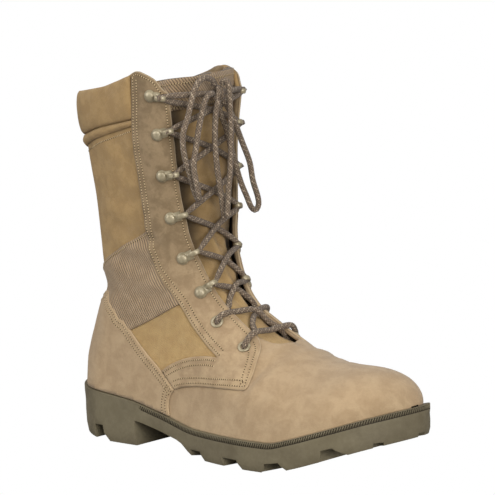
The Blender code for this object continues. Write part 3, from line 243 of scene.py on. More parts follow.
# Lines of panels and fittings as places on the last; the collar's lines are shares and rows
FACING_REAR = ((27.75, 0.633), (27.5, 0.628), (25.4, 0.613), (23.4, 0.611), (21.05, 0.628), (18.95, 0.664),
               (17.6, 0.712), (16.2, 0.742), (14.45, 0.757), (12.95, 0.744), (11.8, 0.706), (10.8, 0.676),
               (9.85, 0.648))
WING_TOP = ((9.85, 0.648), (10.45, 0.602), (11.25, 0.508), (11.75, 0.424), (12.1, 0.344), (12.25, 0.290))
WING_BOTTOM = ((11.45, 0.212), (11.1, 0.270), (10.3, 0.350), (9.4, 0.412), (8.6, 0.462), (8.05, 0.500),
               (7.90, 0.540), (7.90, 0.620), (7.93, 0.728), (8.05, 0.824), (8.30, 0.905), (8.80, 0.970))
TAB = ((26.6, 0.905), (26.6, 0.860), (26.9, 0.822), (27.45, 0.782), (27.77, 0.727), (27.93, 0.680),
       (27.90, 0.652), (27.75, 0.633))
COLLAR = ((0.000, 27.20), (0.100, 27.20), (0.393, 27.30), (0.506, 27.50), (0.600, 27.72), (0.652, 27.90),
          (0.680, 27.93), (0.727, 27.77), (0.782, 27.45), (0.822, 26.90), (0.860, 26.60), (1.000, 26.60))
BAND_BOTTOM = ((0.0, 25.5), (0.157, 25.5), (0.361, 25.6), (0.598, 25.65))
PIPING_TOP = ((0.0, 25.45), (0.157, 25.45), (0.361, 25.55), (0.598, 25.6))
PIPING_BOTTOM = ((0.0, 25.0), (0.100, 25.05), (0.361, 25.20), (0.598, 25.33))
COUNTER_TOP = ((19.5, 0.0), (19.4, 0.090), (18.85, 0.232), (17.9, 0.320), (17.1, 0.378), (16.2, 0.428),
               (15.4, 0.446), (14.55, 0.432))
COUNTER_FRONT = ((14.55, 0.432), (13.55, 0.378), (12.75, 0.320), (12.0, 0.260), (11.5, 0.210))
COUNTER_FOOT = ((11.5, 0.210), (11.56, 0.140), (11.5, 0.076), (11.3, 0.0))
WEBBING_TOP = ((20.35, 0.000), (20.38, 0.120), (20.35, 0.250), (20.2, 0.430), (19.98, 0.600),
               (19.85, 0.675))
WEBBING_FRONT = ((19.85, 0.675), (18.95, 0.690), (17.6, 0.736), (16.2, 0.766), (14.45, 0.780),
                 (12.85, 0.768))
WEBBING_BOTTOM = ((12.85, 0.768), (13.1, 0.712), (13.75, 0.560), (14.4, 0.432), (15.0, 0.350), (16.2, 0.300),
                  (17.6, 0.220), (18.6, 0.120), (18.8, 0.0))
HOOK_PLACES = ((26.67, 0.757), (24.65, 0.782), (22.46, 0.790), (19.5, 0.832), (15.05, 0.885), (12.48, 0.878))
HOOK_LOOPS = ((26.52, 0.830), (24.72, 0.856), (22.30, 0.866), (19.1, 0.912), (14.75, 0.950), (12.30, 0.950))
EYELET_PLACES = ((10.76, 0.843), (8.89, 0.835))


@dataclass(frozen=True)
class Crease:
    """Soft trough in the leather or cloth, in the side view.

    Attributes:
        start: x and z where the trough begins.
        end: x and z where it ends.
        width: distance from the trough's bottom to the ridge beside it.
        depth: depth of the trough; negative for a ridge.
        side: side of the boot, or None for both.
        sag: how far it bows, as a share of its length.
        ridge: height of the ridges beside it, as a share of its depth.
    """

    start: tuple[float, float]
    end: tuple[float, float]
    width: float
    depth: float
    side: Side | None = None
    sag: float = 0.12
    ridge: float = 0.45

    def relief(self, x: np.ndarray, z: np.ndarray) -> np.ndarray:
        """Height that the crease adds at places of the side view."""
        ax, az = self.start
        dx, dz = self.end[0] - ax, self.end[1] - az
        length = math.hypot(dx, dz)
        share = ((x - ax) * dx + (z - az) * dz) / length ** 2
        off = ((x - ax) * dz - (z - az) * dx) / length
        bend = self.sag * length * (share - 0.5) ** 2
        t = (off - bend) / self.width
        taper = np.exp(-np.maximum(0.0, np.abs(share - 0.5) - 0.32) ** 2 / 0.02)
        ridge = self.ridge * np.exp(-((np.abs(t) - 1.7) / 0.8) ** 2)
        return -self.depth * (np.exp(-t * t) - ridge) * taper


@dataclass(frozen=True)
class Dent:
    """Broad soft hollow in the side view.

    Attributes:
        centre: x and z of its middle.
        reach: distances in x and z over which it fades.
        depth: depth at the middle; negative for a swelling.
        side: side of the boot, or None for both.
    """

    centre: tuple[float, float]
    reach: tuple[float, float]
    depth: float
    side: Side | None = None

    def relief(self, x: np.ndarray, z: np.ndarray) -> np.ndarray:
        """Height that the dent adds at places of the side view."""
        return -self.depth * np.exp(-((x - self.centre[0]) / self.reach[0]) ** 2
                                    - ((z - self.centre[1]) / self.reach[1]) ** 2)


DENTS = (
    Dent((-0.022, 0.088), (0.040, 0.036), 0.0026),
    Dent((-0.004, 0.114), (0.030, 0.009), 0.0030),
    Dent((-0.004, 0.136), (0.030, 0.012), -0.0006),
    Dent((-0.002, 0.183), (0.030, 0.016), 0.0014),
    Dent((-0.002, 0.215), (0.034, 0.034), 0.0014),
    Dent((0.000, 0.264), (0.046, 0.018), 0.0022),
    Dent((0.116, 0.108), (0.022, 0.024), 0.0030, Side.MEDIAL),
    Dent((0.094, 0.150), (0.018, 0.026), 0.0020, Side.MEDIAL),
    Dent((0.088, 0.215), (0.020, 0.045), 0.0020, Side.MEDIAL),
    Dent((0.168, 0.076), (0.046, 0.018), 0.0021),
    Dent((0.206, 0.066), (0.019, 0.016), 0.0022),
    Dent((0.254, 0.048), (0.020, 0.022), 0.0012),
)
THROAT_DENTS = DENTS[4:]
CREASES = (
    Crease((0.172, 0.083), (0.150, 0.050), 0.0050, 0.0011),
    Crease((0.185, 0.081), (0.168, 0.046), 0.0045, 0.0009),
    Crease((0.160, 0.070), (0.140, 0.044), 0.0050, 0.0007),
    Crease((0.197, 0.078), (0.186, 0.050), 0.0040, 0.0005),
    Crease((0.072, 0.128), (0.018, 0.140), 0.0060, 0.0012),
    Crease((0.078, 0.112), (0.040, 0.108), 0.0050, 0.0009),
    Crease((0.066, 0.150), (0.012, 0.166), 0.0060, 0.0010),
    Crease((0.058, 0.176), (0.006, 0.186), 0.0070, 0.0008, Side.LATERAL),
    Crease((0.052, 0.200), (0.030, 0.232), 0.0060, 0.0007, Side.LATERAL),
    Crease((0.016, 0.196), (-0.002, 0.222), 0.0070, 0.0008),
    Crease((0.064, 0.186), (0.020, 0.178), 0.0070, 0.0009, Side.MEDIAL),
    Crease((0.044, 0.212), (0.010, 0.226), 0.0060, 0.0008, Side.MEDIAL),
    Crease((0.005, 0.086), (-0.014, 0.060), 0.0070, 0.0006),
    Crease((0.070, 0.152), (0.030, 0.150), 0.0035, 0.0010),
    Crease((0.062, 0.168), (0.036, 0.164), 0.0040, 0.0005),
    Crease((0.130, 0.062), (0.110, 0.070), 0.0050, 0.0006),
)


# Height of the soft waves on the foot, and what the shaft adds to it
FOOT_WAVE = 0.00018
SHAFT_WAVE = 0.00034
COLUMNS = ("low_x", "low_z", "high_x", "high_z", "low_half", "high_half", "round", "shift", "lean")


@dataclass(frozen=True)
class Last:
    """Form that upper, tongue and insole are built on, with the outsole's outline under it."""

    length: float = 0.3005
    ball_width: float = 0.107
    heel_centre: float = 0.0365
    heel_round: float = 0.0365
    toe_round: float = 0.047
    forefoot: float = 0.0205
    heel_lift: float = 0.0205
    toe_spring: float = 0.022999
    margin: float = 0.0032
    instep_rise: float = 0.137
    shaft_height: float = 0.2294
    top_tilt: float = 0.004
    shaft_width: float = 0.087
    seat: float = 0.0008
    heel_row: int = len(FOOT_ROWS) - 1
    top_row: int = len(FOOT_ROWS) - 1 + len(SHAFT_ROWS)
    throat_row: float = 7.5
    curves: dict[str, SmoothCurve] = field(default_factory=dict)

    def __post_init__(self) -> None:
        """Work out every column of the last."""
        curves = self.curves
        curves["plan_half"], curves["plan_shift"] = through(PLAN, 1), through(PLAN, 2)
        curves["heel"], curves["toe"] = through(PROFILE, 1), through(PROFILE, 2)
        curves["throat"] = through(THROAT, 1)
        curves["back_round"] = through(BACK_ROUNDING, 1)
        curves["collar"] = through(COLLAR, 1)
        rows = []
        for foot, top, rise, side, top_round, lean in FOOT_ROWS:
            low, high = self.at_share(foot), self.at_share(top)
            rows.append((low, self.sole_top(low) + self.seat, high,
                         self.sole_top(high) + rise * self.instep_rise,
                         self.sole_half(low) - self.margin, side * self.ball_width,
                         top_round * self.ball_width, self.sole_shift(low), lean * self.ball_width))
        seat = rows[-1][1]
        ankle = rows[-1][3]
        front = seat + self.shaft_height + self.top_tilt - ankle
        for back, fore, low, high, heel, side, top_round, lean in SHAFT_ROWS:
            rows.append((self.at_share(back), seat + low * self.shaft_height, self.at_share(fore),
                         ankle + high * front, heel * self.shaft_width, side * self.shaft_width,
                         top_round * self.shaft_width, 0.0, lean * self.ball_width))
        table = np.array(rows, float)
        for index, name in enumerate(COLUMNS):
            curves[name] = SmoothCurve(range(len(rows)), table[:, index])
        curves["back"] = SmoothCurve(table[self.heel_row:, 1], table[self.heel_row:, 0])

    def at_share(self, share: float) -> float:
        """X of a share of the length from the sole's back."""
        return share * self.length - self.heel_centre

    def along(self, x: np.ndarray) -> np.ndarray:
        """Share of the length at x."""
        return (np.asarray(x) + self.heel_centre) / self.length

    def sole_top(self, x: np.ndarray) -> np.ndarray:
        """Height of the outsole's top edge."""
        share = self.along(x)
        return self.forefoot + self.heel_lift * self.curves["heel"](share) + self.sole_bottom(x)

    def sole_bottom(self, x: np.ndarray) -> np.ndarray:
        """Height of the tread."""
        return self.toe_spring * self.curves["toe"](self.along(x))

    def sole_half(self, x: np.ndarray) -> np.ndarray:
        """Half width of the outsole, without its round ends."""
        return self.ball_width * self.curves["plan_half"](self.along(x))

    def sole_shift(self, x: np.ndarray) -> np.ndarray:
        """Sideways place of the outsole's middle."""
        return self.ball_width * self.curves["plan_shift"](self.along(x))

    def outline_half(self, x: np.ndarray, inset: float) -> np.ndarray:
        """Half width of the outsole's outline, drawn in by inset all round."""
        heel = rounding((x + self.heel_centre - inset) / (self.heel_round - inset))
        toe = rounding((self.tip - inset - x) / (self.toe_round - inset))
        return (self.sole_half(x) - inset) * heel * toe

    def values(self, row: np.ndarray) -> dict[str, np.ndarray]:
        """Every column's value at rows."""
        row = np.asarray(row, float)
        values = {name: self.curves[name](row) for name in COLUMNS}
        foot = row <= self.heel_row
        low_x = np.where(foot, values["low_x"], self.curves["back"](values["low_z"]))
        values["low_x"] = low_x
        values["low_z"] = np.where(foot, self.sole_top(low_x) + self.seat, values["low_z"])
        values["low_half"] = np.where(foot, self.sole_half(low_x) - self.margin, values["low_half"])
        values["shift"] = np.where(foot, self.sole_shift(low_x), values["shift"])
        values["length"] = np.hypot(values["high_x"] - low_x, values["high_z"] - values["low_z"])
        return values

    @staticmethod
    def between(v: dict[str, np.ndarray], column: str, across: np.ndarray) -> np.ndarray:
        """Value of a column between the sections' low and high ends."""
        return v["low_" + column] + (v["high_" + column] - v["low_" + column]) * across

    @staticmethod
    def middle(v: dict[str, np.ndarray], across: np.ndarray) -> np.ndarray:
        """Y of the last's middle plane, which leans toward the medial side."""
        return v["shift"] + (v["lean"] - v["shift"]) * across

    @property
    def tip(self) -> float:
        """X of the outsole's toe end."""
        return self.length - self.heel_centre

    def draw_in(self, x: np.ndarray, inset: float) -> np.ndarray:
        """X drawn in by inset round the toe."""
        return x - inset * np.maximum(0.0, (x - self.tip) / self.toe_round + 1.0)

    def side_view(self, row: np.ndarray, across: np.ndarray) -> tuple[np.ndarray, np.ndarray]:
        """X and z of places in the side view."""
        v = self.values(row)
        return self.between(v, "x", across), self.between(v, "z", across)

    def half_width(self, v: dict[str, np.ndarray], across: np.ndarray, inset: float) -> np.ndarray:
        """Half width of the sections at shares of their height."""
        x = self.draw_in(self.between(v, "x", across), inset)
        z = self.between(v, "z", across)
        wide = self.between(v, "half", across) - inset
        radius = np.maximum(np.minimum(v["round"], 0.95 * v["length"]) - inset, 0.3 * v["length"])
        seat = self.curves["low_z"].ys[self.heel_row]
        back_radius = self.shaft_width * self.curves["back_round"]((z - seat) / self.shaft_height) - inset
        back = rounding((x - self.curves["back"](z) - inset) / back_radius)
        toe = rounding((self.tip - self.margin - inset - x) / (self.toe_round - self.margin - inset))
        top = rounding(((1.0 - across) * v["length"] - inset) / radius)
        return np.maximum(wide, 0.0) * top * back * toe

    def point(self, row: np.ndarray, across: np.ndarray, side: np.ndarray, inset: float = 0.0) -> np.ndarray:
        """Points of the last, or of a smaller one drawn in by inset."""
        row, across, side = same_shape(row, across, side)
        v = self.values(row)
        x = self.draw_in(self.between(v, "x", across), inset)
        y = self.middle(v, across) + side * self.half_width(v, across, inset)
        return np.stack([x, y, self.between(v, "z", across)], axis=-1)

    def normal(self, row: np.ndarray, across: np.ndarray, side: np.ndarray) -> np.ndarray:
        """Outward directions; on the back seam and front line they have no sideways part."""
        row, across, side = same_shape(row, across, side)
        step = 0.01
        v = self.values(row)
        by_row = (self.point(np.minimum(row + step, self.top_row), across, side)
                  - self.point(np.maximum(row - step, 0.0), across, side))
        by_across = (self.point(row, np.minimum(across + step, 1.0), side)
                     - self.point(row, np.maximum(across - step, 0.0), side))
        seam = self.half_width(v, across, 0.0) < 1e-6
        by_row[seam, 1] = 0.0
        by_across[seam] = (0.0, 1.0, 0.0)
        normal = unit(np.cross(by_row, by_across))
        ahead = np.stack([v["high_x"] - v["low_x"], np.zeros_like(row), v["high_z"] - v["low_z"]], axis=-1)
        ahead = np.sum(ahead * normal, axis=-1) * np.where(across > 0.5, 1.0, -1.0)
        sense = np.where(seam, ahead, normal[..., 1] * side)
        return normal * np.where(sense < 0.0, -1.0, 1.0)[..., None]

    @staticmethod
    def relief(point: np.ndarray) -> np.ndarray:
        """Height of dents, creases and soft waves at points of the surface."""
        x, y, z = point[..., 0], point[..., 1], point[..., 2]
        height = np.zeros_like(x)
        for mark in CREASES + DENTS:
            weight = 1.0 if mark.side is None else np.clip(0.5 + y * mark.side.value / 0.02, 0.0, 1.0)
            height = height + mark.relief(x, z) * weight
        wave = (np.sin(61.0 * x + 37.0 * z + 23.0 * y) * np.sin(83.0 * z - 41.0 * x + 1.3)
                + 0.6 * np.sin(143.0 * x + 29.0 * y) * np.sin(127.0 * z + 71.0 * y + 0.7))
        shaft = np.clip((z - 0.11) / 0.04, 0.0, 1.0)
        return height + wave * (FOOT_WAVE + SHAFT_WAVE * shaft)

    def surface(self, row: np.ndarray, across: np.ndarray, side: np.ndarray,
                lift: np.ndarray | float = 0.0, inset: float = 0.0) -> np.ndarray:
        """Points of the creased surface, drawn in by inset and lifted outward."""
        point = self.point(row, across, side, inset)
        height = self.relief(self.point(row, across, side)) + lift
        return point + self.normal(row, across, side) * np.asarray(height)[..., None]

    def skin(self, places: np.ndarray, side: Side, lift: float) -> np.ndarray:
        """Points of the lifted surface at a list of places."""
        return self.surface(places[:, 0], places[:, 1], side.value, lift)

    def outward(self, places: np.ndarray, side: Side) -> np.ndarray:
        """Outward directions at a list of places."""
        return self.normal(places[:, 0], places[:, 1], side.value)

    def across_at_half(self, row: np.ndarray, half: np.ndarray, inset: float = 0.0) -> np.ndarray:
        """Share of the section, on its upper part, where its half width falls to a value."""
        row, half = same_shape(row, half)
        v = self.values(row)
        low = np.full(row.shape, 0.55)
        high = 1.0 - inset / v["length"]
        for _ in range(40):
            middle = 0.5 * (low + high)
            inside = self.half_width(v, middle, inset) > half
            low = np.where(inside, middle, low)
            high = np.where(inside, high, middle)
        return 0.5 * (low + high)

    def throat_gap(self, row: np.ndarray) -> np.ndarray:
        """Half of the throat's opening."""
        return self.shaft_width * self.curves["throat"](row)

    def throat_across(self, row: np.ndarray, inset: float = 0.0) -> np.ndarray:
        """Share of the section where the facings' edge lies."""
        row = np.asarray(row, float)
        top = 1.0 - inset / self.values(row)["length"]
        return np.where(row <= self.throat_row, top, self.across_at_half(row, self.throat_gap(row), inset))

    def place_of(self, x: np.ndarray, z: np.ndarray, row: np.ndarray, across: np.ndarray) -> np.ndarray:
        """Rows and shares of places in the side view, found from near guesses."""
        row, across = np.array(row, float), np.array(across, float)
        step = 1e-3
        for _ in range(5):
            px, pz = self.side_view(row, across)
            rx, rz = self.side_view(row + step, across)
            ax, az = self.side_view(row, across + step)
            a, b, c, d = (rx - px) / step, (ax - px) / step, (rz - pz) / step, (az - pz) / step
            det = a * d - b * c
            det = np.where(np.abs(det) < 1e-9, 1e-9, det)
            ex, ez = x - px, z - pz
            row = row + np.clip((d * ex - b * ez) / det, -0.6, 0.6)
            across = across + np.clip((a * ez - c * ex) / det, -0.1, 0.1)
        return np.stack([row, across], axis=-1)

    def forward(self, row: float) -> np.ndarray:
        """Direction along a section, toward the front of the boot."""
        (x0, z0), (x1, z1) = self.side_view(row, 0.0), self.side_view(row, 1.0)
        return unit(np.array([x1 - x0, 0.0, z1 - z0]))


LAST = Last()


# Meshes


def new_object(name: str, data: bpy.types.ID) -> Thing:
    """Object of a mesh or curve, linked into the scene."""
    item = bpy.data.objects.new(name, data)
    bpy.context.scene.collection.objects.link(item)
    return item


def mesh_object(name: str, mesh: bmesh.types.BMesh, weld: float = 1e-5, turn: bool = True) -> Thing:
    """Smooth-shaded object of a bmesh.

    Args:
        name: object's name.
        mesh: mesh that is used up.
        weld: distance below which its points are merged.
        turn: whether its faces are made to point outward.

    Returns:
        The object.
    """
    bmesh.ops.remove_doubles(mesh, verts=mesh.verts, dist=weld)
    if turn:
        bmesh.ops.recalc_face_normals(mesh, faces=mesh.faces)
    data = bpy.data.meshes.new(name)
    mesh.to_mesh(data)
    mesh.free()
    data.shade_smooth()
    return new_object(name, data)


def add_grid(mesh: bmesh.types.BMesh, points: np.ndarray, material: int = 0,
             uv: np.ndarray | None = None) -> list[list[bmesh.types.BMVert]]:
    """Quads between the rows of a grid of points.

    Args:
        mesh: mesh that gets them.
        points: rows, columns and coordinates.
        material: material slot of the faces.
        uv: texture places of the same shape, if any.

    Returns:
        The grid's vertices.
    """
    verts = [[mesh.verts.new(point) for point in row] for row in points]
    layer = mesh.loops.layers.uv.verify() if uv is not None else None
    for i in range(len(verts) - 1):
        for j in range(len(verts[0]) - 1):
            corners = ((i, j), (i + 1, j), (i + 1, j + 1), (i, j + 1))
            face = mesh.faces.new([verts[a][b] for a, b in corners])
            face.material_index = material
            if layer is not None:
                for loop, (a, b) in zip(face.loops, corners):
                    loop[layer].uv = uv[a][b]
    return verts


def grid_uv(points: np.ndarray) -> np.ndarray:
    """Texture places in metres from the distances along a grid's rows and columns."""
    across = np.linalg.norm(np.diff(points, axis=1), axis=2)
    up = np.linalg.norm(np.diff(points, axis=0), axis=2)
    u = np.concatenate([np.zeros((len(points), 1)), np.cumsum(across, axis=1)], axis=1)
    v = np.concatenate([np.zeros((1, points.shape[1])), np.cumsum(up, axis=0)], axis=0)
    return np.stack([u, np.broadcast_to(v.mean(axis=1, keepdims=True), u.shape)], axis=-1)


def join_rims(mesh: bmesh.types.BMesh, first: Verts, second: Verts, material: int = 0) -> None:
    """Quads between two rows of vertices."""
    for corners in zip(first, first[1:], second[1:], second):
        mesh.faces.new(corners).material_index = material


def join_skins(name: str, mesh: bmesh.types.BMesh, first: Sequence[Verts], second: Sequence[Verts]) -> Thing:
    """Closed object of two grids, joined along their four sides."""
    for end in (0, -1):
        join_rims(mesh, first[end], second[end])
    for end in (0, -1):
        join_rims(mesh, [row[end] for row in first], [row[end] for row in second])
    return mesh_object(name, mesh)


def face_at(grid: Sequence[Verts], i: int, j: int) -> bmesh.types.BMFace:
    """Grid's face between a row and column and the next ones."""
    return next(face for face in grid[i][j].link_faces if grid[i + 1][j + 1] in face.verts)


SQUEEZE = 0.30


def tube_mesh(name: str, path: np.ndarray, radius: float, sides: int = 10,
              tight: Sequence[np.ndarray] = ()) -> Thing:
    """Round cord along a path, with texture places in metres along and round it.

    Args:
        name: object's name.
        path: evenly spaced centre points.
        radius: cord's radius.
        sides: points round it.
        tight: places where the cord is squeezed thinner.

    Returns:
        The cord, closed at both ends.
    """
    path = np.asarray(path, float)
    tangents = unit(np.gradient(path, axis=0))
    across = np.cross(tangents[0], (0.31, 0.17, 0.93))
    rings = []
    for point, tangent in zip(path, tangents):
        across = across - tangent * np.dot(across, tangent)
        across /= np.linalg.norm(across)
        up = np.cross(tangent, across)
        angles = np.linspace(0.0, 2.0 * math.pi, sides + 1)
        near = min((float(np.linalg.norm(point - place)) for place in tight), default=1.0)
        thick = radius * (1.0 - SQUEEZE * math.exp(-(near / (2.0 * radius)) ** 2))
        rings.append(point + thick * (np.cos(angles)[:, None] * across + np.sin(angles)[:, None] * up))
    rings = np.array(rings)
    steps = run_lengths(path)
    around = np.linspace(0.0, 2.0 * math.pi * radius, sides + 1)
    uv = np.stack(np.broadcast_arrays(around[None, :], steps[:, None]), axis=-1)
    mesh = bmesh.new()
    verts = add_grid(mesh, rings, uv=uv)
    for ring in (verts[0], verts[-1]):
        mesh.faces.new(ring[:-1])
    return mesh_object(name, mesh)


def evaluated(item: Thing) -> Thing:
    """The same object with its modifiers made part of its mesh."""
    graph = bpy.context.evaluated_depsgraph_get()
    data = bpy.data.meshes.new_from_object(item.evaluated_get(graph), depsgraph=graph)
    item.modifiers.clear()
    old = item.data
    item.data = data
    bpy.data.meshes.remove(old)
    return item


def dress(item: Thing, finishes: Iterable[Look]) -> None:
    """Give an object its materials, one for each slot."""
    if item.data.materials:
        item.data.materials.clear()
    for finish in finishes:
        item.data.materials.append(finish)


def place_on_body(item: Thing, nodes: Sequence[str], slot: str, *finishes: Look) -> None:
    """Make a piece ride on the boot and stand for its solids, with finishes where it has none yet."""
    if finishes:
        dress(item, finishes)
    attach(item, "root")
    if nodes:
        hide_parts(*nodes)
    LOG.info("%s: %d faces", item.name, len(item.data.polygons))


# Finishes


class Graph:
    """Short way to place and link nodes in a tree."""

    def __init__(self, tree: bpy.types.NodeTree) -> None:
        self.tree = tree
        self.count = 0

    def add(self, kind: str, inputs: dict | None = None, **settings: object) -> bpy.types.Node:
        """Place a node.

        Args:
            kind: node's type.
            inputs: values or sockets for its inputs, by name or number.
            settings: its properties.

        Returns:
            The node.
        """
        node = self.tree.nodes.new(kind)
        node.location = (180 * (self.count % 12), -220 * (self.count // 12))
        self.count += 1
        for name, value in settings.items():
            setattr(node, name, value)
        self.feed(node, inputs or {})
        return node

    def feed(self, node: bpy.types.Node, inputs: dict) -> None:
        """Give a node's inputs their values or links; a colour may be three numbers."""
        for name, value in inputs.items():
            if isinstance(value, Socket):
                self.tree.links.new(value, node.inputs[name])
            elif node.inputs[name].type == "RGBA":
                node.inputs[name].default_value = (*value[:3], 1.0)
            else:
                node.inputs[name].default_value = value

    def math(self, operation: str, *values: object, clamp: bool = False) -> Socket:
        """Result of a Math node."""
        node = self.add("ShaderNodeMath", dict(enumerate(values)), operation=operation, use_clamp=clamp)
        return node.outputs[0]

    def mix(self, share: object, first: object, second: object, blend: str = "MIX") -> Socket:
        """Result of mixing two colours."""
        node = self.add("ShaderNodeMix", {0: share, 6: first, 7: second}, data_type="RGBA", blend_type=blend)
        return node.outputs[2]

    def noise(self, place: object, scale: object, detail: float, roughness: float = 0.5,
              distortion: float = 0.0) -> Socket:
        """Value of a noise texture."""
        node = self.add("ShaderNodeTexNoise", {"Vector": place, "Scale": scale, "Detail": detail,
                                               "Roughness": roughness, "Distortion": distortion})
        return node.outputs["Fac"]

    def waves(self, value: object) -> Socket:
        """Row of round crests, one for each whole number."""
        return self.math("ABSOLUTE", self.math("SINE", self.math("MULTIPLY", value, math.pi)))

    def every_other(self, value: object) -> Socket:
        """1 where a whole number is odd, else 0."""
        return self.math("GREATER_THAN", self.math("FRACT", self.math("MULTIPLY", value, 0.5)), 0.25)

    def ramp(self, value: object, low: float, high: float, start: float = 0.0,
             end: float = 1.0) -> Socket:
        """Value mapped smoothly from one range to another and held at its ends."""
        node = self.add("ShaderNodeMapRange", {0: value, 1: low, 2: high, 3: start, 4: end},
                        interpolation_type="SMOOTHSTEP")
        return node.outputs[0]


def new_material(name: str) -> tuple[Look, Graph, bpy.types.Node]:
    """Material, the helper for its tree and its Principled shader."""
    material = bpy.data.materials.new(name)
    material.use_nodes = True
    return material, Graph(material.node_tree), material.node_tree.nodes["Principled BSDF"]


def new_group(name: str, inputs: dict[str, tuple[str, object]], outputs: dict[str, str],
              kind: str = "ShaderNodeTree") -> bpy.types.NodeTree:
    """Node group with named sockets.

    Args:
        name: group's name.
        inputs: for each input its kind and default value.
        outputs: for each output its kind.
        kind: type of tree.

    Returns:
        The empty group.
    """
    tree = bpy.data.node_groups.new(name, kind)
    for label, (socket, default) in inputs.items():
        made = tree.interface.new_socket(label, in_out="INPUT", socket_type="NodeSocket" + socket)
        if default is not None:
            made.default_value = default
    for label, socket in outputs.items():
        tree.interface.new_socket(label, in_out="OUTPUT", socket_type="NodeSocket" + socket)
    return tree


class Effects:
    """Shader groups that several finishes share."""

    def __init__(self) -> None:
        self.mottle = self.build_mottle()
        self.weave = self.build_weave()
        self.grime = self.build_grime()

    @staticmethod
    def build_mottle() -> bpy.types.NodeTree:
        """Soft patches of two colours with fine specks over them."""
        tree = new_group("mottle", {"Vector": ("Vector", None), "Light": ("Color", None),
                                    "Dark": ("Color", None), "Patch Scale": ("Float", 40.0),
                                    "Speck Scale": ("Float", 600.0), "Speck": ("Float", 0.3)},
                         {"Color": "Color", "Mask": "Float"})
        g = Graph(tree)
        given = g.add("NodeGroupInput").outputs
        broad = g.ramp(g.noise(given["Vector"], given["Patch Scale"], 6.0, 0.62, 0.4), 0.34, 0.66)
        speck = g.noise(given["Vector"], given["Speck Scale"], 3.0, 0.7)
        fine = g.math("MULTIPLY", g.math("SUBTRACT", speck, 0.5), given["Speck"])
        mask = g.math("ADD", broad, fine, clamp=True)
        colour = g.mix(mask, given["Dark"], given["Light"])
        g.add("NodeGroupOutput", {"Color": colour, "Mask": mask})
        return tree

    @staticmethod
    def build_weave() -> bpy.types.NodeTree:
        """Crossing threads from texture places in metres."""
        tree = new_group("weave", {"Vector": ("Vector", None), "Across": ("Float", 900.0),
                                   "Up": ("Float", 900.0), "Slant": ("Float", 0.0),
                                   "Unevenness": ("Float", 0.35), "Rib": ("Float", 0.0)},
                         {"Height": "Float"})
        g = Graph(tree)
        given = g.add("NodeGroupInput").outputs
        wander = g.noise(given["Vector"], 260.0, 2.0)
        drift = g.math("MULTIPLY", g.math("SUBTRACT", wander, 0.5), given["Unevenness"])
        split = g.add("ShaderNodeSeparateXYZ", {0: given["Vector"]}).outputs
        skew = g.math("MULTIPLY", split["Y"], given["Slant"])
        u = g.math("ADD", g.math("MULTIPLY", g.math("ADD", split["X"], skew), given["Across"]), drift)
        v = g.math("ADD", g.math("MULTIPLY", split["Y"], given["Up"]), drift)
        warp, weft = g.waves(u), g.waves(v)
        over = g.every_other(g.math("ADD", g.math("FLOOR", u), g.math("FLOOR", v)))
        crossed = g.add("ShaderNodeMix", {0: over, 2: warp, 3: weft}, data_type="FLOAT").outputs[0]
        height = g.add("ShaderNodeMix", {0: given["Rib"], 2: crossed, 3: warp}, data_type="FLOAT").outputs[0]
        g.add("NodeGroupOutput", {"Height": height})
        return tree

    @staticmethod
    def build_grime() -> bpy.types.NodeTree:
        """Colour with dust low down and in blotches, and paler rubbed spots."""
        tree = new_group("grime", {"Vector": ("Vector", None), "Color": ("Color", None),
                                   "Dust": ("Color", None), "Amount": ("Float", 0.3),
                                   "Foot": ("Float", 0.05)}, {"Color": "Color"})
        g = Graph(tree)
        given = g.add("NodeGroupInput").outputs
        cloud = g.noise(given["Vector"], 55.0, 7.0, 0.7)
        height = g.add("ShaderNodeSeparateXYZ", {0: given["Vector"]}).outputs["Z"]
        low = g.math("SUBTRACT", 1.0, g.math("DIVIDE", height, given["Foot"]), clamp=True)
        patch = g.ramp(g.math("ADD", cloud, g.math("MULTIPLY", low, 0.22)), 0.46, 0.74)
        fine = g.ramp(g.noise(given["Vector"], 420.0, 2.0), 0.35, 0.65, 0.55, 1.0)
        share = g.math("MULTIPLY", g.math("MULTIPLY", patch, fine), given["Amount"], clamp=True)
        g.add("NodeGroupOutput", {"Color": g.mix(share, given["Color"], given["Dust"])})
        return tree


# Colour of the painted shade in gaps, laid on where a piece carries the deep attribute
GAP_SHADE = srgb(40, 32, 24)


